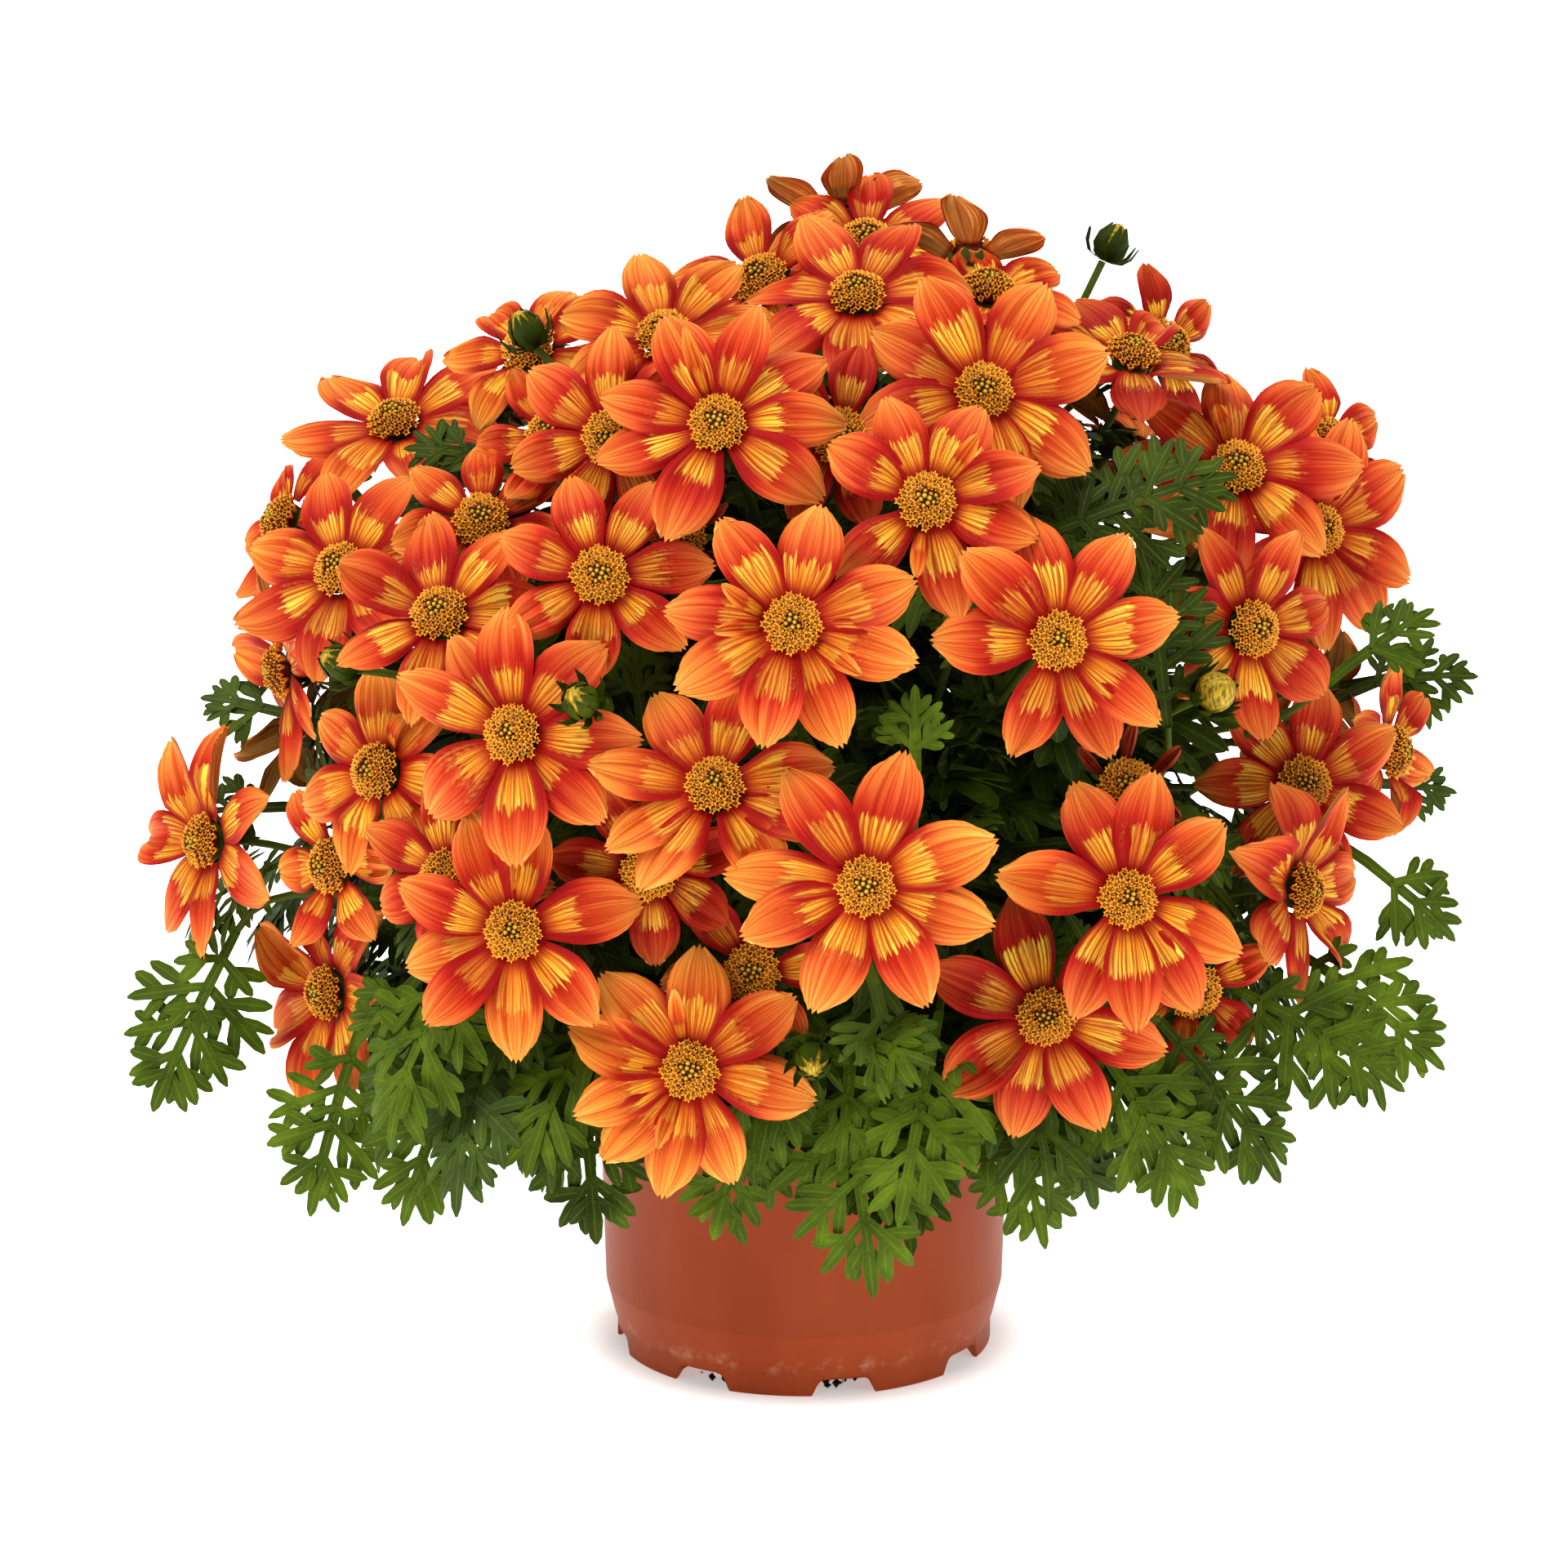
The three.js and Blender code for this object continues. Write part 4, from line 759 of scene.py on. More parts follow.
def petal(form, draw, size=1.0):
    """The middle surface of one petal, from the middle of its bloom. It is a grid of rows and columns."""
    share, aside = np.meshgrid(PETAL["rows"], PETAL["columns"], indexing="ij")
    stops, widths = np.array(PETAL["outline"]).T
    reach = form["length"] - DISC["radius"]
    crowding = np.interp(form["spread"], [math.radians(10), math.radians(20)], [0.82, 1])
    widest = form["length"] * PETAL["half_width"] * crowding * size
    widest = widest * (0.92 + UNEVEN["width"] * next(draw))
    width = np.interp(share, stops, widths) * widest
    tip = np.clip((share - 0.8) / 0.2, 0, 1)
    teeth = np.abs(np.cos(1.5 * math.pi * aside)) - 1
    along = share + tip * teeth * PETAL["tooth"] - tip * 0.05 * aside**2
    x = width * aside + UNEVEN["bow"] * (next(draw) - 0.5) * share**2
    run = reach * along
    z = form["slope"] * run - form["fall"] * along**2
    fold = FOLD["folded"] if next(draw) < FOLD["many"] else FOLD["others"] * next(draw)
    camber = next(draw) * UNEVEN["camber"] - UNEVEN["camber"] / 2
    roll, wave = UNEVEN["roll"] * (next(draw) - 0.5), 6.3 * next(draw)
    bend, drop = UNEVEN["bend"] * (next(draw) - 0.5), UNEVEN["drop"] * (next(draw) - 0.5)
    z = z + width * (fold * (np.abs(aside) - 0.4) + camber * aside**2) * np.clip(3 * share, 0.3, 1)
    z = z + roll * width * aside * share + bend * share**3 + drop
    z = z + PETAL["pleat"] * np.cos(3 * math.pi * aside) * np.sin(math.pi * np.clip(along, 0, 1)) ** 0.7
    z = z + PETAL["edge_wave"] * np.sin(7 * share + wave) * np.abs(aside) ** 3 * share
    return np.stack([x, run + DISC["radius"], z], -1)


def spun(points, turn):
    """Points turned clockwise about a bloom's own axis."""
    x, y, z = np.moveaxis(points, -1, 0)
    return np.stack([x * math.cos(turn) + y * math.sin(turn), y * math.cos(turn) - x * math.sin(turn), z], -1)


def star_floret(walled):
    """An open floret: five pointed lobes round its mouth. Those at the disc's rim show their tube too."""
    points, faces, tones = [], [], []
    for i in range(10):
        turn = i * math.pi / 5
        wide, tall = (0.98, 1.5) if i % 2 == 0 else (0.55, 1.15)
        points += [(0.34 * math.cos(turn), 0.34 * math.sin(turn), 0.9)]
        points += [(wide * math.cos(turn), wide * math.sin(turn), tall)]
        points += [(0.38 * math.cos(turn), 0.38 * math.sin(turn), -0.6)]
        tones += [0.35, 1.0 if i % 2 == 0 else 0.7, 0.1]
        here, there = 3 * i, 3 * ((i + 1) % 10)
        faces.append([here + 1, there + 1, there, here])
        if walled:
            faces.append([here + 2, there + 2, there + 1, here + 1])
    return np.array(points), faces, tones


def small_dome(radius, height, sides=5):
    """A little rounded bud or anther, open underneath where nothing shows."""
    points, faces, tones = [], [], []
    for level, (wide, tall) in enumerate([(0.8, 0.0), (1.0, 0.5), (0.62, 0.88)]):
        for i in range(sides):
            turn = (i + level / 2) * 2 * math.pi / sides
            points.append((wide * radius * math.cos(turn), wide * radius * math.sin(turn), tall * height))
            tones.append([0.0, 0.5, 0.9][level])
            if level:
                here, there = level * sides + i, level * sides + (i + 1) % sides
                faces.append([here - sides, there - sides, there, here])
    points.append((0, 0, height))
    tones.append(1.0)
    faces += [[2 * sides + i, 2 * sides + (i + 1) % sides, 3 * sides] for i in range(sides)]
    return np.array(points), faces, tones


def post(radius, height):
    """A little four-sided anther tube, open underneath."""
    ways = [(1, 0), (0, 1), (-1, 0), (0, -1)]
    points = [(radius * x, radius * y, z) for z in (0, height) for x, y in ways]
    faces = [[i, (i + 1) % 4, 4 + (i + 1) % 4, 4 + i] for i in range(4)]
    return np.array(points), [*faces, [4, 5, 6, 7]], [0.0] * 4 + [1.0] * 4


STARS = [star_floret(False), star_floret(True)]
BUDLET, ANTHER = small_dome(0.62, 1.0), post(0.28, 0.9)


def add_disc(surfaces, bloom, axes, fluffy, draw):
    """The domed disc. Florets open from its rim inwards, so the middle is the last to open."""

    def put(shape, finish, at, lean, size):
        points, faces, tones = shape
        upright = unit(np.array([at[0] * lean, at[1] * lean, 1]))
        side = across(np.array([0.3, 0.8, 0.1]), upright)
        local = at + (points * size) @ np.array([side, np.cross(upright, side), upright])
        surfaces.add(local @ axes + bloom["place"], faces, finish, along=tones)

    dome_points, dome_faces, _ = small_dome(FLORETS["radius"] * 0.92, DISC["rise"] + 0.6, 16)
    surfaces.add(dome_points @ axes + bloom["place"], dome_faces, 2, along=0.0)
    for i in range(FLORETS["count"]):
        share = math.sqrt((i + 0.5) / FLORETS["count"])
        turn = i * math.radians(137.508)
        reach = share * FLORETS["radius"]
        height = FLORETS["base"] + DISC["rise"] * (1 - share**2) ** 0.8
        at = np.array([reach * math.cos(turn), reach * math.sin(turn), height])
        size = 0.85 + 0.3 * next(draw)
        if share > (0.3 if fluffy else FLORETS["open_from"]):
            put(STARS[share > FLORETS["walls_from"]], 1, at, 0.11, size)
            put(ANTHER, 2, at + [0, 0, 0.6], 0.11, size)
        else:
            put(BUDLET, 3, at, 0.09, size)


def add_petal(surfaces, bloom, axes, grid, number, warmth, wilt):
    """Adds a petal as a thin sheet, with the marks that its skin reads."""
    points, faces, repeated, is_under = thin_sheet(grid, PETAL["thickness"])
    share, aside = np.meshgrid(PETAL["rows"], PETAL["columns"], indexing="ij")
    marks = {"along": share.ravel()[repeated], "aside": aside.ravel()[repeated], "underside": is_under}
    world = points @ axes + bloom["place"]
    surfaces.add(world, faces, 0, petal_number=number, warmth=warmth, wilt=wilt, **marks)


for number, bunch in enumerate(BUNCHES, 1):
    surfaces = Surfaces("along", "aside", "underside", "petal_number", "warmth", "wilt")
    draw = draws(500 + number)
    wilt = float(number in WILTED)
    for i, bloom in enumerate(bunch):
        axes = bloom_axes(bloom["faces"])
        for k, form in enumerate(petal_forms(bloom, number * 10 + i)):
            warmth = WARMTH_AND_SHADE.get(number, 0.5) + 0.5 * (next(draw) - 0.5)
            grid = spun(petal(form, draw, 1 - 0.55 * wilt), form["turn"])
            add_petal(surfaces, bloom, axes, grid, number + 0.13 * k + 0.5 * i, warmth, wilt)
        for k in range(CURLED.get(number, 0)):
            small = {"length": 15 + 5 * next(draw), "slope": 0.9 + 0.5 * next(draw), "fall": 2.5}
            small["spread"] = math.radians(9)
            grid = spun(petal(small, draw, 0.55), math.radians(137 * k + 360 * next(draw)))
            add_petal(surfaces, bloom, axes, grid, number + 0.07 * k, 0.95, 0.0)
        add_disc(surfaces, bloom, axes, number in FLUFFY, draw)
    hand_over(surfaces.build(f"orange_bloom_{number:02d}", BLOOM_FINISHES), [f"bloom_{number:02d}"])

# The plants
# Five rooted cuttings fill the pot. Each has branching stems with opposite leaves, cut twice into
# narrow lobes, and its flower stalks end in a green cup of bracts. All of a plant is one piece.

PLANTS = [
    ((0, 2), [(0, 62), (120, 62), (240, 62)]),
    ((16, -16), [(22, -6), (66, -6), (22, 26), (66, 26)]),
    ((16, 16), [(112, -6), (156, -6), (112, 26), (156, 26)]),
    ((-16, 16), [(204, -6), (248, -6), (204, 26), (248, 26)]),
    ((-16, -16), [(294, -6), (338, -6), (294, 26), (338, 26)]),
]
STEM = {"root": 2.2, "thick": 1.87, "fork": 1.6, "peduncle": 0.95, "buried": 59, "collar": 76, "share": 0.5}
FORKS = {"first": 0.04, "step": 0.2, "lowest": 2.8, "choices": 4}
SWAY = {"reaches": [5, 10, 16, 23, 31, 42], "directions": 8}
CUP = {"top": 0.9, "height": 7, "radius": 4.4}
BUD = {"swell": 5, "tip": 10, "radius": 3.6, "tip_radius": 1.4, "opening": 1.35}
BUD_SWELLING = [(0.2, 1.2), (1.5, 2.6), (3, 3.4), (5, 3.6), (7, 3.1), (9, 1.9), (10, 0.5)]
BUD_BRACTS = {
    "closed": [(2.2, 0.6), (3.9, 3.4), (3.7, 6.4), (1.9, 9.6)],
    "open": [(2.0, 0.3), (4.6, 1.2), (6.2, 3.2), (6.9, 6.4)],
}
CUP_PROFILE = [(8.4, 0.9), (7.4, 1.2), (6.2, 2.4), (4.4, 3.6), (2.4, 4.3), (1.1, 4.6)]
CUP_BRACTS = {
    "upright": [(3.2, -6.4), (4.9, -4.2), (5.6, -2.4), (6.9, -1.5)],
    "bent": [(2.6, -6.8), (5.2, -6.2), (7.8, -7.0), (9.4, -9.0)],
}
BRACTS = {"count": 16, "thickness": 0.35, "on_cup": [0.7, 1.1, 0.95, 0.15], "on_bud": [0.8, 1.3, 1.1, 0.2]}
BRACT_ALONG = [0, 0.35, 0.7, 1.0]


def curve(start, leaving, end, arriving, sway=0):
    """A curve that leaves its start along one direction and reaches its end along another."""
    length = np.linalg.norm(end - start)
    first, second = start + leaving * length * 0.35 + sway, end - arriving * length * 0.3 + sway * 0.6
    return np.array([start, first, second, end])


def run_along(hull, steps):
    """Evenly timed points on a cubic curve, ends included."""
    t = np.linspace(0, 1, steps + 1)[:, None]
    first, last = (1 - t) ** 3 * hull[0], t**3 * hull[3]
    return first + 3 * t * (1 - t) ** 2 * hull[1] + 3 * t**2 * (1 - t) * hull[2] + last


def rings_round(points, radii, sides):
    """Rings of corners round each point of a path."""
    normal = np.array([0.3, 0.5, 0.8])
    turns = 2 * math.pi * np.arange(sides) / sides
    rings = []
    for i, point in enumerate(points):
        ahead = unit(points[min(i + 1, len(points) - 1)] - points[max(i - 1, 0)])
        normal = across(normal, ahead)
        side = np.cross(ahead, normal)
        rings.append(point + radii[i] * (np.outer(np.cos(turns), normal) + np.outer(np.sin(turns), side)))
    return np.array(rings)


def tube(points, radii, sides):
    """A closed tube along a path."""
    rings = rings_round(points, radii, sides)
    n = len(rings)
    corner = np.arange(n * sides).reshape(n, sides)
    following = np.roll(corner, -1, axis=1)
    faces = np.stack([corner[:-1], following[:-1], following[1:], corner[1:]], -1).reshape(-1, 4).tolist()
    return rings.reshape(-1, 3), [*faces, corner[0, ::-1].tolist(), corner[-1].tolist()]


def solid_tree(node):
    """The faces of a CAD node, to find how far a point lies from them."""
    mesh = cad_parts[node].data
    return BVHTree.FromPolygons(points_of(node).tolist(), [list(face.vertices) for face in mesh.polygons])


plant_solids = [solid_tree(f"leafy_plant_{i + 1}") for i in range(len(PLANTS))]


def lies_on(points, tree):
    """The share of points that lie on a solid's surface."""
    return sum(tree.find_nearest(Vector(point))[3] < MATCH for point in points) / len(points)


stems = []
for plant, (root, ways) in enumerate(PLANTS):
    for turn, lift in ways:
        out = outward(turn, lift)
        fork = HEART + out * DOME["radii"] * STEM["share"]
        base = np.array([*root, STEM["collar"] - 1.5])
        hull = curve(base, Z, fork, out)
        stems.append({"plant": plant, "out": out, "hull": hull, "points": run_along(hull, 4), "stalks": 0})


def sways(along):
    """How far a stalk may bend aside, least first."""
    side = unit(np.cross([1.0, 0, 0] if abs(along[2]) > 0.9 else Z, along))
    top = np.cross(along, side)
    bends = [np.zeros(3)]
    for reach in SWAY["reaches"]:
        for around in ring(SWAY["directions"], 0):
            around = math.radians(around)
            bends.append(reach * (side * math.cos(around) + top * math.sin(around)))
    return bends


def nearest_stems(point):
    """The stems that grow most nearly towards a point."""
    return sorted(stems, key=lambda stem: -stem["out"].dot(unit(point - HEART)))[: FORKS["choices"]]


def next_fork(stem):
    """Where the next stalk leaves a stem, each one lower than the last."""
    down = min(FORKS["first"] + FORKS["step"] * stem["stalks"], FORKS["lowest"])
    i = math.floor(4 - down)
    return stem["points"][i] + (stem["points"][i + 1] - stem["points"][i]) * (4 - down - i)


def find_route(end, arriving, samples_on):
    """The stem and the curve by which a stalk reaches its end in the solid. samples_on gives points
    that lie on the solid if a path is the right one."""
    best = (0, None, None)
    for stem in nearest_stems(end):
        start = next_fork(stem)
        ahead = unit(end - start)
        for sway in sways(ahead):
            hull = curve(start, unit(ahead + stem["out"]), end, arriving, sway)
            share = lies_on(samples_on(run_along(hull, 2)), plant_solids[stem["plant"]])
            if share > best[0] + 0.01:
                best = (share, stem, hull)
            if share == 1:
                break
        if best[0] == 1:
            break
    share, stem, hull = best
    if stem is None:
        stem = nearest_stems(end)[0]
        hull = curve(next_fork(stem), unit(unit(end - next_fork(stem)) + stem["out"]), end, arriving)
    stem["stalks"] += 1
    return stem["plant"], hull


def stalk_samples(beyond, radii):
    """Gives a test for find_route: points on the skin of a path's last half, and of what it carries."""

    def samples(path):
        rings = rings_round([*path, *beyond], radii, 3)
        return np.concatenate([rings[1] * (1 - f) + rings[2] * f for f in (0.1, 0.5, 0.9)])

    return samples


greens = [Surfaces("tone", "aside", "along", "fade") for _ in PLANTS]
for bunch in BUNCHES:
    for bloom in bunch:
        behind = [bloom["place"] - bloom["faces"] * d for d in (CUP["top"] + CUP["height"], CUP["top"])]
        samples = stalk_samples([behind[1]], [1, 1, 1, CUP["radius"]])
        bloom["plant"], bloom["stalk"] = find_route(behind[0], bloom["faces"], samples)
OPENING = (102, 21, -6)
BUDS = [(78, 128, 0), (102, 21, -6), (-48, 19, 0), (7, -66, 0), (-105, 28, 6), (-61, 107, 4)]
buds = []
for place in BUDS:
    point, _ = on_dome(*place)
    faces = unit(point - HEART)
    beyond = [point + faces * BUD["swell"], point + faces * BUD["tip"]]
    samples = stalk_samples(beyond, [1, 1, 1, BUD["radius"], BUD["tip_radius"]])
    plant, hull = find_route(point, faces, samples)
    buds.append({"point": point, "faces": faces, "plant": plant, "stalk": hull, "opening": place == OPENING})

# A leaf is cut to the rib into pairs of lobes and one at the tip, and each lobe is cut again. A row of
# LOBES says where a pair leaves the rib, at what angle, and how far it reaches, as shares of the leaf's
# length. A row of LEAVES is a leaf on the front: where its base shows, how proud it stands, the turn of
# its tip from straight up and its length.

LOBES = [(0.32, 60, 0.42), (0.52, 54, 0.36), (0.69, 44, 0.27)]
LEAF = {"rise": 0.2, "roll": 0.5, "thickness": 0.5, "full_size": 50}
HALF_WIDTH = {"lobe": 1.85, "lobelet": 1.75, "rib": 1.3}
LOBE_SHAPE = [(0, 0.6), (0.3, 0.72), (0.66, 1.0), (0.9, 0.72), (1, 0.18)]
LOBELET_SHAPE = [(0, 0.5), (0.55, 1.0), (0.86, 0.74), (1, 0.2)]
RIB_SHAPE = [(0, 0.9), (0.45, 1.1), (1, 1.0)]
LOBELETS = {True: [(0.24, 44, 0.54), (0.5, 38, 0.46)], False: [(0.32, 42, 0.62)]}
SMALL_LOBES = [(0.16, 63, 0.25), (0.43, 58, 0.18)]
CURL = {"lobe": 0.22, "lobelet": 0.5, "tilt": 0.3, "groove": 0.3}
INNER = {"from": 0.62, "swell": 1.9}
LEAVES = [
    [-134, -36, 0, 205, 48],
    [-104, -60, 0, 195, 46],
    [-76, -58, -18, 200, 50],
    [-50, -62, -22, 175, 48],
    [-4, -60, -34, 195, 50],
    [14, -66, -24, 172, 56],
    [38, -56, -24, 150, 50],
    [52, -66, -26, 165, 46],
    [74, -60, -20, 160, 48],
    [92, -58, -14, 140, 46],
    [110, -50, -6, 145, 46],
    [124, -40, 0, 125, 46],
    [132, -12, -14, 125, 40],
    [130, 22, -14, 50, 34],
    [66, 62, -16, 12, 44],
    [78, 44, -30, -20, 34],
    [94, 14, -20, 20, 44],
    [32, -8, -10, 0, 30],
    [-62, 78, -44, -20, 30],
    [136, 24, -30, 70, 34],
    [-112, -6, -80, -90, 34],
    [-80, -38, -20, 225, 34],
]
# Tones of some front leaves by number; the low ones are painted shade on leaves set deep among blooms
LEAF_TONES_AND_SHADE = {14: 0.3, 15: 0.3, 16: 0.3, 17: 0.72, 18: 0.3, 20: 0.25, 21: 0.55}
BACK_LEAVES = [(turn, -18) for turn in (98, 126, 154, 182, 210, 238, 264)]
BACK_LEAVES += [(turn, 20) for turn in (130, 180, 230)] + [(turn, 66) for turn in (100, 180, 260)]
BACK_LEAF = {"length": 52, "reach": 0.8, "level": 0.2, "pairs": 2}
LEAF_TURNS = [0, 14, -14, 28, -28, 42, -42, 60, -60]
LEAF_LEANS = [0.2, 0.5, -0.1]


def leaf_lobes(length, pairs, seed):
    """How far a leaf droops, and where each lobe leaves the rib, its angle and its reach."""
    draw = draws(seed)
    droop = 0.2 + 0.3 * next(draw)
    lobes = []
    kept = LOBES[len(LOBES) - pairs :]
    for along, angle, share in kept:
        for way in (1, -1):
            turn = math.radians(way * angle + 12 * (next(draw) - 0.5))
            width = 0.85 + 0.3 * next(draw)
            lobes.append((along * length, turn, share * length, width))
    lobes.append((kept[-1][0] * length, 0, length * (1 - kept[-1][0]), 0.85 + 0.3 * next(draw)))
    return droop, lobes


def leaf_axes(heading, normal):
    """A leaf's own axes: across it, along its rib, and up from its face."""
    z = across(normal, heading)
    return np.array([np.cross(heading, z), heading, z])


def leaf_height(x, y, droop, length):
    """How a leaf arches along its rib and rolls down at its sides."""
    return LEAF["rise"] * y - (droop * y**2 + LEAF["roll"] * x**2) / length


def turned_about(way, axis, turn):
    """A direction turned about an axis, by degrees."""
    turn = math.radians(turn)
    side = np.cross(axis, way)
    return way * math.cos(turn) + side * math.sin(turn) + axis * axis.dot(way) * (1 - math.cos(turn))


def find_leaf(base, towards, out, length, pairs, seed):
    """The way that a leaf points in the solids: the one whose lobe tips all lie on one of them."""
    normal = out + [0, -0.2, 0.5]
    droop, lobes = leaf_lobes(length, pairs, seed)
    tips = [(math.sin(turn) * reach, y + math.cos(turn) * reach) for y, turn, reach, _ in lobes]
    tips = np.array([(x, y, leaf_height(x, y, droop, length)) for x, y in tips])
    best = (-1, None)
    for lean in LEAF_LEANS:
        for turn in LEAF_TURNS:
            heading = unit(turned_about(towards, out, turn) + out * lean)
            world = tips @ leaf_axes(heading, normal) + base
            share = max(lies_on(world, tree) for tree in plant_solids)
            if share > best[0]:
                best = (share, heading)
    heading = best[1]
    axes = leaf_axes(heading, normal)

    def samples(path):
        ahead = unit(path[2] - path[0])
        tilt = np.array(Vector(heading).rotation_difference(Vector(ahead)).to_matrix())
        points = []
        for way in (1, -1):
            near, far = path[1] + way * (tilt @ axes[0]), base + way * axes[0]
            points += [near * (1 - f) + far * f for f in (0.1, 0.4, 0.7)]
        return points

    plant, hull = find_route(base, heading, samples)
    form = (length, pairs, seed)
    return {"base": base, "axes": axes, "plant": plant, "stalk": hull, "form": form, "fade": 0}


leaves = []
for i, (aside, up, proud, heading, length) in enumerate(LEAVES):
    point, _ = on_dome(aside, up, proud)
    heading = math.radians(heading)
    towards = np.array([math.sin(heading), 0, 0]) + up_in_view * math.cos(heading)
    leaves.append(find_leaf(point, towards, to_viewer, length, 2 if length < 43 else 3, i + 1))
for i, (turn, lift) in enumerate(BACK_LEAVES):
    out = outward(turn, lift)
    point = DOME["centre"] + out * DOME["radii"] * BACK_LEAF["reach"]
    level = unit(out * [1, 1, 0])
    towards = unit(-Z + (level + Z) * BACK_LEAF["level"])
    seed = len(LEAVES) + i + 1
    leaves.append(find_leaf(point, towards, level, BACK_LEAF["length"], BACK_LEAF["pairs"], seed))


def strips(blades, shape):
    """Many narrow blades in a leaf's own plane, each a grid of rows and three columns. lift, tilt and
    curl take a blade out of that plane: at its start, steadily, and more and more."""
    ts, widths = np.array(shape).T
    values = np.array(blades, float).T[:, :, None, None]
    start_x, start_y, turn, reach, half, lift, tilt, curl = values
    over = half * widths[None, :, None] * np.array([-1.0, 0, 1])
    forth = reach * ts[None, :, None] + 0 * over
    x = start_x + np.sin(turn) * forth + np.cos(turn) * over
    y = start_y + np.cos(turn) * forth - np.sin(turn) * over
    raised = lift + tilt * forth + curl * forth**2 / reach + CURL["groove"] * np.abs(over)
    return x, y, raised


def lens_faces(count, rows):
    """Faces of many closed blades: two skins that meet along both edges and at the ends."""
    top = np.arange(rows * 3).reshape(rows, 3)
    under = top.copy()
    under[1:-1, 1] = rows * 3 + np.arange(rows - 2)
    faces = []
    for grid, order in ((top, (3, 2, 1, 0)), (under, (0, 1, 2, 3))):
        quads = [grid[:-1, :-1], grid[:-1, 1:], grid[1:, 1:], grid[1:, :-1]]
        faces.append(np.stack([quads[k] for k in order], -1).reshape(-1, 4))
    faces = np.concatenate(faces)
    size = rows * 3 + rows - 2
    return (faces[None] + (np.arange(count) * size)[:, None, None]).reshape(-1, 4).tolist()


def add_leaf(surfaces, leaf, tone, inner=False, full=True):
    """A finely cut leaf, in the plane, arch and lobes of its solid. A full one has small lobes between
    the large ones, and an inner one is cut only once."""
    length, pairs, seed = leaf["form"]
    droop, lobes = leaf_lobes(length, pairs, seed)
    draw = draws(seed + 900)
    if pairs == 3 and not inner:
        small = SMALL_LOBES if full else SMALL_LOBES[:1]
        small = [(y, way * turn, reach) for y, turn, reach in small for way in (1, -1)]
        lobes = [*[(y * length, math.radians(turn), reach * length, 0.9) for y, turn, reach in small], *lobes]
    large, fine = [], []
    slim = min(1, length / LEAF["full_size"])
    for y, turn, reach, width in lobes:
        tilt, curl = CURL["lobe"] * (next(draw) - 0.5), -CURL["lobe"] * next(draw)
        wide = HALF_WIDTH["lobe"] * slim * width * (INNER["swell"] if inner else 1)
        large.append((0, y, turn, reach, wide, 0, tilt, curl))
        for share, angle, part in [] if inner else LOBELETS[reach > 0.34 * length]:
            for way in (1, -1):
                at = reach * (share + 0.12 * (next(draw) - 0.5))
                lift = tilt * at + curl * at**2 / reach
                start = (math.sin(turn) * at, y + math.cos(turn) * at)
                way_on = turn + way * math.radians(angle + 16 * (next(draw) - 0.5))
                long = reach * part * (0.8 + 0.4 * next(draw))
                half = HALF_WIDTH["lobelet"] * slim * (0.85 + 0.3 * next(draw))
                bend = tilt + 2 * curl * at / reach + CURL["tilt"] * (next(draw) - 0.5)
                fine.append((*start, way_on, long, half, lift, bend, -CURL["lobelet"] * (next(draw) - 0.25)))
    rib = [(0, 0, 0, lobes[-1][0] + 1, HALF_WIDTH["rib"], 0, 0, 0)]
    blades = [strips(large, LOBE_SHAPE), strips(rib, RIB_SHAPE)]
    if fine:
        blades.append(strips(fine, LOBELET_SHAPE))
    for x, y, raised in blades:
        count, rows, _ = x.shape
        middle = np.stack([x, y, leaf_height(x, y, droop, length) + raised], -1)
        thick = np.zeros((count, rows, 3))
        thick[:, 1:-1, 1] = LEAF["thickness"] / 2
        upper = middle.copy()
        upper[..., 2] += thick
        lower = middle[:, 1:-1, 1].copy()
        lower[..., 2] -= LEAF["thickness"] / 2
        points = np.concatenate([upper.reshape(count, -1, 3), lower], 1).reshape(-1, 3)
        aside = np.concatenate([np.tile([1.0, 0, 1], rows), np.zeros(rows - 2)])
        world = points @ leaf["axes"] + leaf["base"]
        marks = {"aside": np.tile(aside, count), "tone": tone, "fade": leaf["fade"]}
        along = np.clip(points[:, 1] / length, 0, 1)
        surfaces.add(world, lens_faces(count, rows), 0, along=along, **marks)


def add_cup(surfaces, bloom, draw):
    """The green cup behind a bloom, with a whorl of upright bracts and one of narrow bent ones."""
    axes = bloom_axes(bloom["faces"])
    points = [bloom["place"] - bloom["faces"] * d for d, _ in CUP_PROFILE]
    rings = rings_round(points, [r for _, r in CUP_PROFILE], 12)
    corner = np.arange(rings.shape[0] * 12).reshape(-1, 12)
    following = np.roll(corner, -1, axis=1)
    faces = np.stack([corner[:-1], following[:-1], following[1:], corner[1:]], -1).reshape(-1, 4).tolist()
    surfaces.add(rings, [*faces, corner[0, ::-1].tolist(), corner[-1].tolist()], 1, tone=0.5, along=0.6)
    for i in range(BRACTS["count"]):
        outer = i % 2
        turn = i * math.pi / 8 + 0.2 * next(draw)
        path = CUP_BRACTS["bent" if outer else "upright"]
        half = np.array(BRACTS["on_cup"]) * (0.85 if outer else 1.15)
        grid = np.array([[(side * w, r, z) for side in (-1, 0, 1)] for (r, z), w in zip(path, half)])
        grid[:, 1, 2] -= 0.2
        points, faces, repeated, _ = thin_sheet(spun(grid, turn), BRACTS["thickness"])
        along = np.repeat(BRACT_ALONG, 3)[repeated]
        surfaces.add(points @ axes + bloom["place"], faces, 1, tone=0.5, along=along)
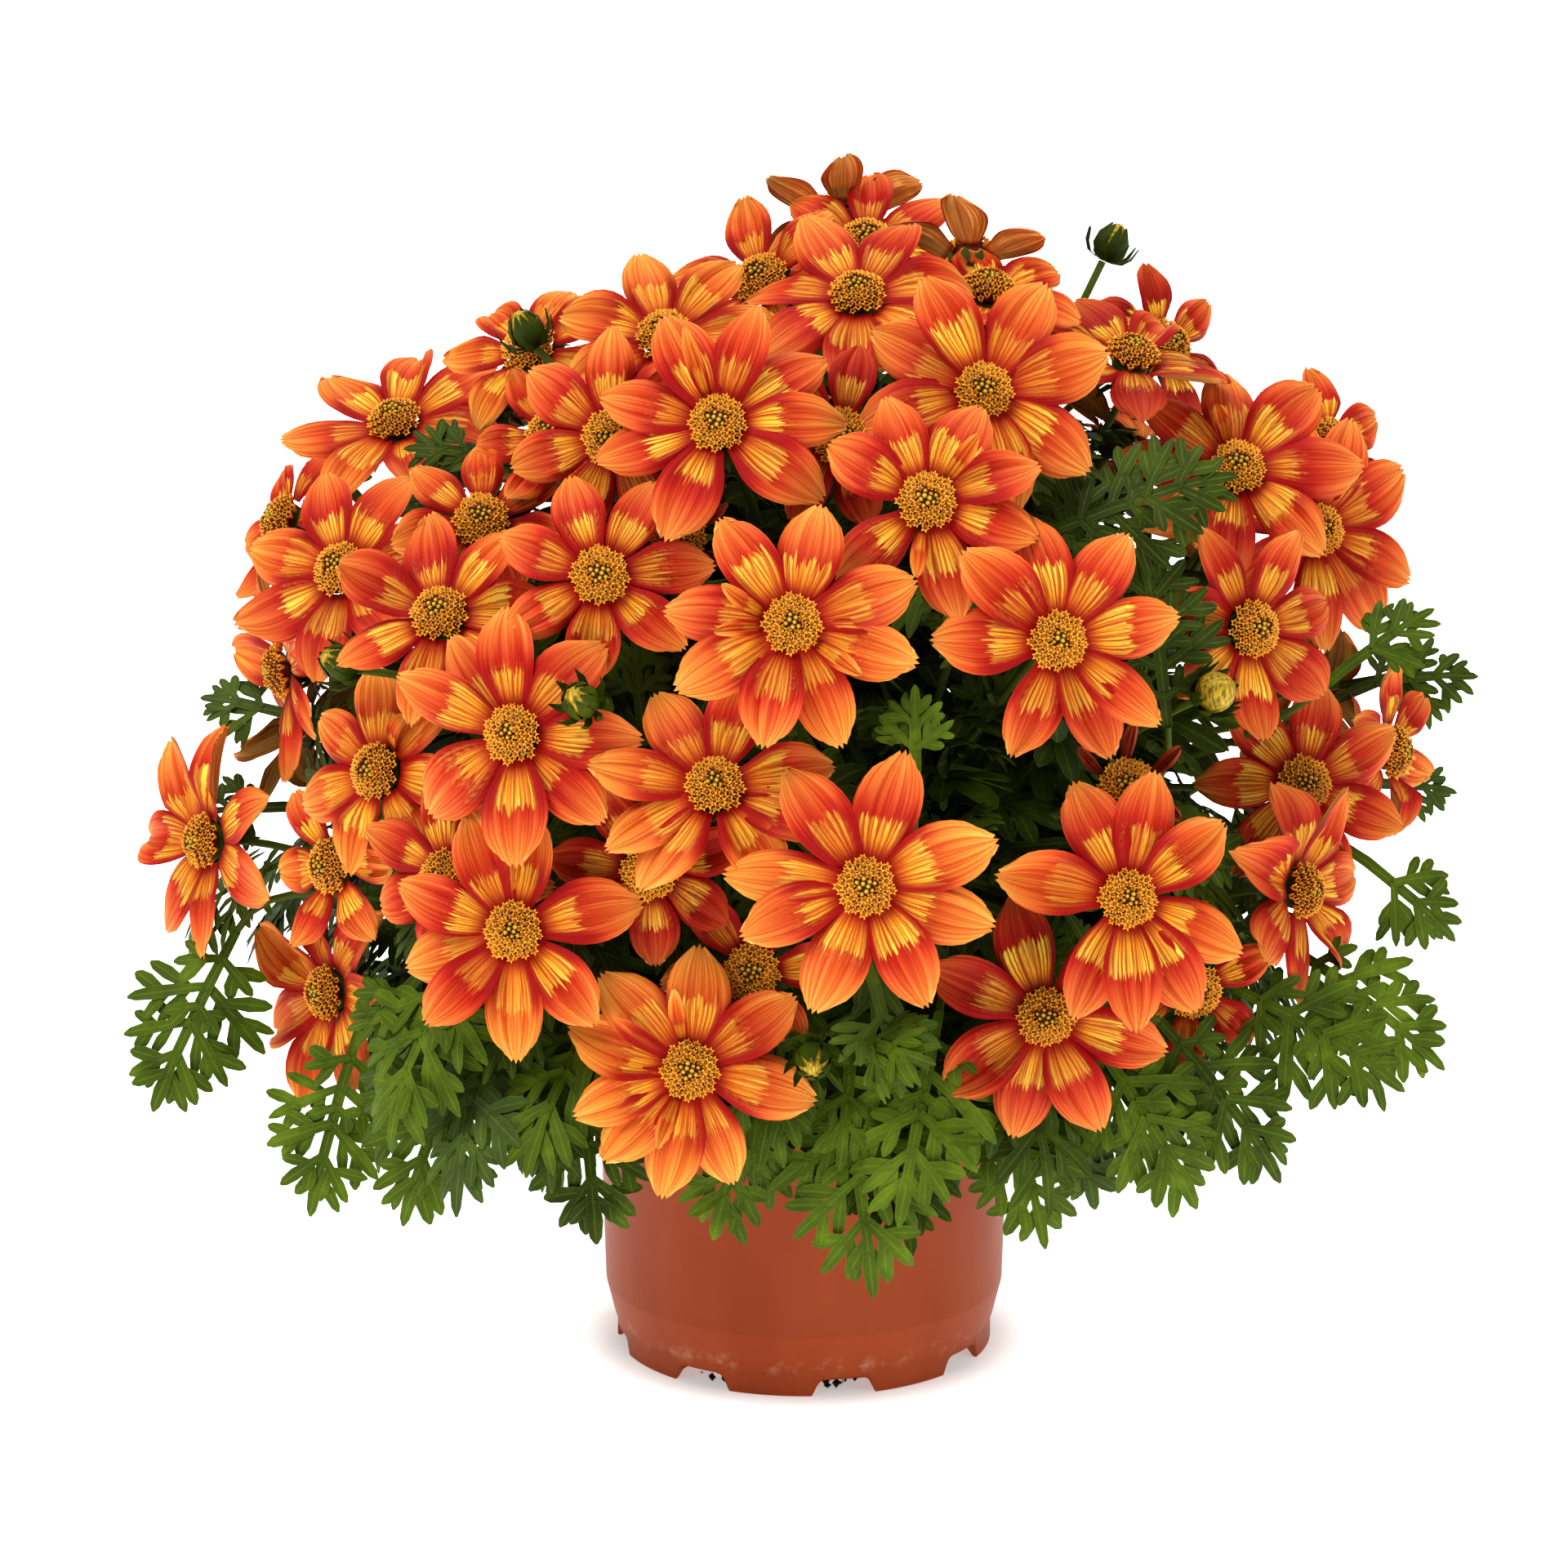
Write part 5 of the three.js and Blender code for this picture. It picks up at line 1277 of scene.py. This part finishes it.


# Bidens leaves are bright green and slightly rough with short hairs. Each lobe has a pale groove down
# its middle and a thin pale edge. Leaves in the shade of the bush are painted darker and bluer, a
# painted shade: they take a lower tone and a tint towards a dim grey-green.
leaf_skin, shader = new_material("bidens_leaf", Roughness=0.58, IOR=1.4)
tone, fade, aside = (
    add_node(leaf_skin, "ShaderNodeAttribute", {"attribute_name": mark}, take="Fac")
    for mark in ("tone", "fade", "aside")
)
mottle = add_node(leaf_skin, "ShaderNodeTexNoise", Vector=place_in_mm(leaf_skin), Scale=0.09, Detail=3.0)
mottle = add_node(leaf_skin, "ShaderNodeMath", SUBTRACT, in_0=mottle, in_1=0.5)
mottle = add_node(leaf_skin, "ShaderNodeMath", MULTIPLY, in_0=mottle, in_1=0.9)
lit = add_node(leaf_skin, "ShaderNodeMath", ADD, in_0=tone, in_1=mottle)
leaf_greens = [(0.0, "#212904"), (0.35, "#384707"), (0.65, "#51660d"), (1.0, "#7d9424")]
green = add_node(leaf_skin, "ShaderNodeValToRGB", stops=leaf_greens, Fac=lit)
for low, high, share, colour in ((0.2, 0.06, 0.16, "#9aa83a"), (0.9, 1.0, 0.24, "#a3ae50")):
    pale = add_node(leaf_skin, "ShaderNodeMapRange", EASED, Value=aside, From_Min=low, From_Max=high)
    pale = add_node(leaf_skin, "ShaderNodeMath", MULTIPLY, in_0=pale, in_1=share)
    colour = linear(colour)
    green = add_node(leaf_skin, "ShaderNodeMix", COLOURS, Factor=pale, in_6=green, in_7=colour, take=2)
# Painted shade: a tint towards a dim, bluer grey-green
dim = linear("#6f8a62")
green = add_node(leaf_skin, "ShaderNodeMix", COLOURS, Factor=fade, in_6=green, in_7=dim, take=2)
leaf_skin.node_tree.links.new(green, shader.inputs["Base Color"])
leaf_hair = add_node(leaf_skin, "ShaderNodeTexNoise", Vector=place_in_mm(leaf_skin), Scale=1.4, Detail=4.0)
leaf_bump = add_node(leaf_skin, "ShaderNodeBump", Height=leaf_hair, Strength=0.35, Distance=0.0006)
leaf_skin.node_tree.links.new(leaf_bump, shader.inputs["Normal"])
shader.inputs["Specular IOR Level"].default_value = 0.25

# Stems are ridged, finely hairy and greyer than the leaves, and tinted brown where they are old
stem_skin, shader = new_material("bidens_stem", Roughness=0.6, IOR=1.42)
youth = add_node(stem_skin, "ShaderNodeAttribute", {"attribute_name": "along"}, take="Fac")
age = add_node(stem_skin, "ShaderNodeMath", SUBTRACT, in_0=1.0, in_1=youth)
age = add_node(stem_skin, "ShaderNodeMath", MULTIPLY, in_0=age, in_1=0.7)
blotches = add_node(stem_skin, "ShaderNodeTexNoise", Vector=place_in_mm(stem_skin), Scale=0.3, Detail=4.0)
blotches = add_node(stem_skin, "ShaderNodeMath", MULTIPLY, in_0=blotches, in_1=0.4)
aged = add_node(stem_skin, "ShaderNodeMath", ADD, in_0=age, in_1=blotches)
stem_greens = [(0.2, "#56631f"), (0.5, "#465216"), (0.8, "#4e3c1c"), (1.0, "#402c18")]
stem_colour = add_node(stem_skin, "ShaderNodeValToRGB", stops=stem_greens, Fac=aged)
stem_skin.node_tree.links.new(stem_colour, shader.inputs["Base Color"])
shader.inputs["Specular IOR Level"].default_value = 0.25

# The folded petals in a bud are olive yellow, streaked with brown
bud_skin, shader = new_material("closed_bud_petals", Roughness=0.55, IOR=1.4)
bud_place = add_node(bud_skin, "ShaderNodeMapping", Vector=place_in_mm(bud_skin), Scale=(1.6, 1.6, 0.4))
bud_streaks = add_node(bud_skin, "ShaderNodeTexNoise", Vector=bud_place, Scale=1.0, Detail=2.0)
bud_tones = [(0.35, "#6e5a14"), (0.5, "#a8901e"), (0.65, "#d4a82a")]
bud_colour = add_node(bud_skin, "ShaderNodeValToRGB", stops=bud_tones, Fac=bud_streaks)
bud_skin.node_tree.links.new(bud_colour, shader.inputs["Base Color"])

draw = draws(77)
for plant, (root, ways) in enumerate(PLANTS):
    foot = np.array([*root, STEM["buried"]])
    main = np.array([foot, foot + [0, 0, 9], foot + [0, 0, STEM["collar"] - STEM["buried"]]])
    greens[plant].add(*tube(main, [STEM["root"]] * 3, 12), 1, tone=0.4, along=0.0)
for stem in stems:
    path = run_along(stem["hull"], 24)
    along = np.repeat(np.linspace(0.1, 0.6, 25), 10)
    greens[stem["plant"]].add(*tube(path, np.linspace(STEM["thick"], STEM["fork"], 25), 10), 1, along=along)
for bunch in BUNCHES:
    for bloom in bunch:
        path = run_along(bloom["stalk"], 16)
        along = np.repeat(np.linspace(0.6, 1, 17), 8)
        greens[bloom["plant"]].add(*tube(path, [STEM["peduncle"]] * 17, 8), 1, along=along)
        add_cup(greens[bloom["plant"]], bloom, draw)
for bud in buds:
    path = run_along(bud["stalk"], 16)
    along = np.repeat(np.linspace(0.6, 1, 17), 8)
    surfaces = greens[bud["plant"]]
    surfaces.add(*tube(path, [STEM["peduncle"]] * 17, 8), 1, along=along)
    points = [bud["point"] + bud["faces"] * d for d, _ in BUD_SWELLING]
    along = np.repeat(np.linspace(0, 1, 7), 12)
    swell = BUD["opening"] if bud["opening"] else 1
    surfaces.add(*tube(points, [r * swell for _, r in BUD_SWELLING], 12), 2, along=along)
    axes = bloom_axes(bud["faces"])
    for i in range(BRACTS["count"]):
        turn = i * math.pi / 8 + 0.3 * next(draw)
        path = BUD_BRACTS["open" if bud["opening"] or i % 2 else "closed"]
        half = np.array(BRACTS["on_bud"]) * (0.8 if i % 2 else 1.2)
        grid = np.array([[(side * w, r, z) for side in (-1, 0, 1)] for (r, z), w in zip(path, half)])
        grid[:, 1, 1] += 0.25
        points, faces, repeated, _ = thin_sheet(spun(grid, turn), BRACTS["thickness"])
        along = np.repeat(BRACT_ALONG, 3)[repeated]
        surfaces.add(points @ axes + bud["point"], faces, 0, tone=0.35, aside=0.5, along=along)
for i, leaf in enumerate(leaves):
    path = run_along(leaf["stalk"], 12)
    greens[leaf["plant"]].add(*tube(path, np.linspace(1.1, 0.95, 13), 6), 1, along=0.8)
    add_leaf(greens[leaf["plant"]], leaf, LEAF_TONES_AND_SHADE.get(i, 0.4 + 0.3 * next(draw)))


# Leaves crowd the stems in opposite pairs, each pair at right angles to the last, and hang over the
# pot's rim. Any that would stand before a bloom is left out.


def bloom_tree():
    """All the blooms' solids as one, to see what stands before them."""
    points, faces = [], []
    for i in range(len(BUNCHES)):
        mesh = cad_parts[f"bloom_{i + 1:02d}"].data
        faces += [[corner + len(points) for corner in face.vertices] for face in mesh.polygons]
        points += points_of(f"bloom_{i + 1:02d}").tolist()
    return BVHTree.FromPolygons(points, faces)


all_blooms = bloom_tree()
EXTRA = {"clear": 70, "in_front": 0.12, "inside": 0.97, "above": 126, "gap": 1.5, "margin": 2}
HEM = {"behind": 0, "beside": 55, "hangs": -30}
HEM["line"] = [
    (-165, -147, -126, -112, -60, -45, 5, 12, 38, 45, 75, 95, 109, 128, 132, 166),
    (-50, -72, -74, -100, -108, -94, -94, -112, -112, -100, -106, -100, -90, -86, -50, -38),
]


def hides_bloom(spot, way):
    """Whether a bloom lies close behind a spot, seen along a direction."""
    return all_blooms.ray_cast(spot, Vector(way), EXTRA["clear"])[0] is not None


def leaf_is_clear(base, axes, form, at_edge):
    """False if the leaf stands before a bloom, runs into one or into the pot, or hangs below the hem
    of the bush, a line in the view from the front."""
    length, pairs, seed = form
    droop, lobes = leaf_lobes(length, pairs, seed)
    spots = [(0, y) for y in (0.25 * length, 0.5 * length, 0.75 * length)]
    for start, turn, reach, _ in lobes:
        for run in (0.5 * reach, reach):
            spots.append((math.sin(turn) * run, start + math.cos(turn) * run))
    local = np.array([(x, y, leaf_height(x, y, droop, length)) for x, y in spots])
    in_front = 0
    for point in local @ axes + base:
        over_pot = math.hypot(point[0], point[1]) < POT["rim_radius"] + EXTRA["margin"]
        if over_pot and point[2] < POT["height"] + EXTRA["margin"]:
            return False
        aside, up = (point - SURVEY["centre"])[0], (point - SURVEY["centre"]).dot(up_in_view)
        if point[1] < HEM["behind"] or abs(aside) > HEM["beside"]:
            if up < np.interp(aside, *HEM["line"]):
                return False
        reach = np.linalg.norm((point - DOME["centre"]) / DOME["radii"])
        if point[2] > EXTRA["above"] and reach > EXTRA["inside"] and not at_edge:
            return False
        spot = Vector(point)
        if all_blooms.find_nearest(spot)[3] < EXTRA["gap"]:
            return False
        hides = hides_bloom(spot, -to_viewer if at_edge else unit(HEART - point))
        in_front += hides or (point[1] < HEM["hangs"] and hides_bloom(spot, -to_viewer))
    return in_front <= EXTRA["in_front"] * len(spots)


def extra_leaf(plant, start, base, heading, normal, length, tone, fade, number, full, at_edge=False):
    """Adds a leaf and the stalk that carries it from start, and says whether the leaf had room."""
    form = (length, 3 if length > 42 else 2, 1000 + number)
    inner = np.linalg.norm((base - DOME["centre"]) / DOME["radii"]) < INNER["from"]
    axes = leaf_axes(heading, normal)
    if not leaf_is_clear(base, axes, form, at_edge):
        return False
    add_leaf(greens[plant], {"form": form, "axes": axes, "base": base, "fade": fade}, tone, inner, full)
    if np.linalg.norm(base - start) > 1:
        hull = curve(start, unit(unit(base - start) + heading * 0.4), base, heading)
        path = run_along(hull, 4)
        greens[plant].add(*tube(path, np.linspace(0.9, 0.75, 5), 4), 1, along=0.8)
    return True


# The steps along a path, out of 20, where leaves stand, and how many steps at its start stay bare
ON_STEM = {"steps": (7, 10, 13, 16, 19), "bare": 4, "shorter": 0}
ON_STALK = {"steps": (3, 7, 11, 15), "bare": 0, "shorter": 6}
draw = draws(4242)
number = 0
paths = [(stem["plant"], run_along(stem["hull"], 20), ON_STEM) for stem in stems]
paths += [(bloom["plant"], run_along(bloom["stalk"], 20), ON_STALK) for bunch in BUNCHES for bloom in bunch]
paths += [(bud["plant"], run_along(bud["stalk"], 20), ON_STALK) for bud in buds]
for plant, path, growth in paths:
    for step, k in enumerate(growth["steps"]):
        ahead = unit(path[k + 1] - path[k - 1])
        upright = across(Z if abs(ahead[2]) < 0.9 else to_viewer, ahead)
        side = across(turned_about(upright, ahead, 90 * step + 60 * next(draw)), ahead)
        for way in (1, -1):
            number += 1
            out = unit(path[k] - HEART)
            heading = unit(ahead * (0.5 + 0.5 * next(draw)) + side * way + out * 0.3)
            depth = np.linalg.norm((path[k] - DOME["centre"]) / DOME["radii"])
            length = 34 + 20 * next(draw) - growth["shorter"]
            # The deeper in the bush a leaf stands, the lower its tone: painted shade
            tone = 0.1 + 0.55 * max(depth - 0.35, 0) + 0.2 * next(draw)
            normal = out + np.array([0, 0, 0.4])
            base = path[k] + heading * 5
            extra_leaf(plant, path[k], base, heading, normal, length, tone, 0, number, False)

# More leaves stand in rings round the pot's axis, the outer ones drooping like a skirt. dip is how
# far a ring's leaves point below level, in degrees.
SKIRT = [
    {"count": 20, "radius": 46, "height": 100, "dip": 55, "length": 54},
    {"count": 28, "radius": 64, "height": 107, "dip": 48, "length": 56},
    {"count": 32, "radius": 82, "height": 110, "dip": 42, "length": 54},
    {"count": 34, "radius": 100, "height": 116, "dip": 36, "length": 50},
    {"count": 30, "radius": 114, "height": 126, "dip": 36, "length": 46},
    {"count": 26, "radius": 112, "height": 142, "dip": 20, "length": 44},
    {"count": 26, "radius": 96, "height": 156, "dip": 5, "length": 44},
    {"count": 24, "radius": 84, "height": 184, "dip": -20, "length": 44},
    {"count": 20, "radius": 64, "height": 217, "dip": -45, "length": 42},
    {"count": 12, "radius": 36, "height": 237, "dip": -65, "length": 40},
    {"count": 26, "radius": 44, "height": 130, "dip": 10, "length": 50},
    {"count": 26, "radius": 52, "height": 160, "dip": -10, "length": 50},
    {"count": 22, "radius": 44, "height": 190, "dip": -35, "length": 48},
    {"count": 24, "radius": 76, "height": 172, "dip": -10, "length": 42},
    {"count": 20, "radius": 62, "height": 200, "dip": -30, "length": 40},
    {"count": 24, "radius": 90, "height": 140, "dip": 10, "length": 42},
]
path_points = []
for plant, path, growth in paths:
    path_points += [(plant, point) for point in path[growth["bare"] :]]
path_tree = KDTree(len(path_points))
for i, (_, point) in enumerate(path_points):
    path_tree.insert(point, i)
path_tree.balance()
for row in SKIRT:
    for around in ring(row["count"], 360 * next(draw)):
        number += 1
        turn = around + 8 * (next(draw) - 0.5)
        level = outward(turn, 0)
        base = level * row["radius"] * (0.9 + 0.2 * next(draw))
        base = base + Z * (row["height"] + 16 * (next(draw) - 0.5))
        dip = row["dip"] + 24 * (next(draw) - 0.5)
        heading = outward(turn + 50 * (next(draw) - 0.5), -dip)
        tipped = level * math.sin(math.radians(max(dip, 0)))
        normal = unit(tipped + Z * math.cos(math.radians(dip)) + level * 0.3)
        length = row["length"] * (0.85 + 0.3 * next(draw))
        _, nearest, _ = path_tree.find(base - level * 12 + Z * 4)
        plant, start = path_points[nearest]
        tone = 0.3 + 0.35 * next(draw)
        # A slight tint towards a dim grey-green: painted shade
        fade = 0.2 * next(draw) ** 3
        extra_leaf(plant, start, base, heading, normal, length, tone, fade, number, dip > 30)

# Leaves that fill the outline between the outermost blooms, placed as the front leaves are. One that
# has no room goes back in steps until it has.
EDGE_LEAVES = [
    [136, 0, -40, 92, 30],
    [130, 18, -50, 66, 32],
    [-112, 14, -50, -74, 32],
    [-60, -70, -24, 195, 42],
    [-58, 62, -44, -30, 34],
    [66, -64, -30, 165, 40],
    [-90, -66, -26, 190, 44],
    [118, -58, -18, 150, 42],
    [-96, 60, -50, -40, 30],
    [-84, -52, -16, 205, 36],
]
for aside, up, proud, turn, length in EDGE_LEAVES:
    turn = math.radians(turn)
    towards = np.array([math.sin(turn), 0, 0]) + up_in_view * math.cos(turn)
    normal = to_viewer + [0, -0.2, 0.5]
    for back in range(0, 40, 6):
        number += 1
        base, _ = on_dome(aside, up, proud - back)
        _, nearest, _ = path_tree.find(base - towards * 10)
        plant, start = path_points[nearest]
        if extra_leaf(plant, start, base, towards, normal, length, 0.4, 0.1, number, True, True):
            break

for plant, surfaces in enumerate(greens):
    leafy = surfaces.build(f"leafy_stems_{plant + 1}", [leaf_skin, stem_skin, bud_skin], sharp=70)
    hand_over(leafy, [f"leafy_plant_{plant + 1}"])

# The studio
# A seamless pale sweep under broad soft lamps, and a camera that stands well back, a little above
# the plant, and looks down on it.

FIELD_WIDTH = 384
SENSOR = 36
FLOOR_HALF = 6000
# How the paper's glow grows away from the pot's axis; the dimmer glow near it is a painted shadow
GLOW_WITH_PAINTED_SHADOW = {"grows": (44, 60), "least": 0.34, "gain": 0.46}
# Each lamp's name, place, width and power in watts
LAMPS = [
    ("key", (-1400, -1500, 2200), 1500, 38),
    ("fill", (1700, -1100, 1300), 1700, 10),
    ("top", (0, 100, 2300), 1400, 22),
    ("rear", (300, 2100, 1700), 1700, 8),
]

# Matt white paper. It glows a little, as an overlit sweep does, so that the plant stands on white,
# and glows less close round the pot: a painted shadow at the pot's foot.
sweep_paper, shader = new_material("white_studio_paper", Roughness=0.9)
paper_fibre = add_node(sweep_paper, "ShaderNodeTexNoise", Vector=place_in_mm(sweep_paper), Scale=0.02)
paper_whites = [(0.0, "#fbfbfb"), (1.0, "#ffffff")]
paper_colour = add_node(sweep_paper, "ShaderNodeValToRGB", stops=paper_whites, Fac=paper_fibre)
sweep_paper.node_tree.links.new(paper_colour, shader.inputs["Base Color"])
sweep_paper.node_tree.links.new(paper_colour, shader.inputs["Emission Color"])
level = (1, 1, 0)
flat = add_node(sweep_paper, "ShaderNodeVectorMath", MULTIPLY, in_0=place_in_mm(sweep_paper), in_1=level)
from_pot = add_node(sweep_paper, "ShaderNodeVectorMath", {"operation": "LENGTH"}, in_0=flat, take="Value")
near, far = GLOW_WITH_PAINTED_SHADOW["grows"]
glow_with_painted_shadow = add_node(sweep_paper, "ShaderNodeMapRange", EASED, Value=from_pot, From_Min=near, From_Max=far)
glow_with_painted_shadow = add_node(sweep_paper, "ShaderNodeMath", MULTIPLY_ADD, in_0=glow_with_painted_shadow, in_1=GLOW_WITH_PAINTED_SHADOW["gain"], in_2=GLOW_WITH_PAINTED_SHADOW["least"])
sweep_paper.node_tree.links.new(glow_with_painted_shadow, shader.inputs["Emission Strength"])
floor_corners = [(x * FLOOR_HALF, y * FLOOR_HALF, 0) for x, y in ((-1, -1), (1, -1), (1, 1), (-1, 1))]
floor_mesh = bpy.data.meshes.new("studio_floor")
floor_mesh.from_pydata([[c * MM for c in corner] for corner in floor_corners], [], [[0, 1, 2, 3]])
floor_mesh.materials.append(sweep_paper)
floor = bpy.data.objects.new("studio_floor", floor_mesh)
bpy.context.scene.collection.objects.link(floor)

for name, place, size, power in LAMPS:
    lamp = bpy.data.objects.new(name, bpy.data.lights.new(name, "AREA"))
    lamp.data.shape = "DISK"
    lamp.data.size = size * MM
    lamp.data.energy = power
    lamp.location = Vector(place) * MM
    to_plant = Vector(SURVEY["centre"] * MM) - lamp.location
    lamp.rotation_euler = to_plant.to_track_quat("-Z", "Y").to_euler()
    bpy.context.scene.collection.objects.link(lamp)

world = bpy.data.worlds.new("white_room")
world.use_nodes = True
world.node_tree.nodes["Background"].inputs["Color"].default_value = (1, 1, 1, 1)
world.node_tree.nodes["Background"].inputs["Strength"].default_value = 0.3
bpy.context.scene.world = world
bpy.context.scene.view_settings.view_transform = "Standard"
bpy.context.scene.view_settings.look = "Medium High Contrast"

camera = bpy.data.objects.new("camera", bpy.data.cameras.new("camera"))
camera.data.sensor_width = SENSOR
camera.data.lens = SENSOR * SURVEY["distance"] / FIELD_WIDTH
camera.data.clip_end = 100
camera.location = Vector(eye * MM)
camera.rotation_euler = Vector(-to_viewer).to_track_quat("-Z", "Y").to_euler()
bpy.context.scene.collection.objects.link(camera)
bpy.context.scene.camera = camera
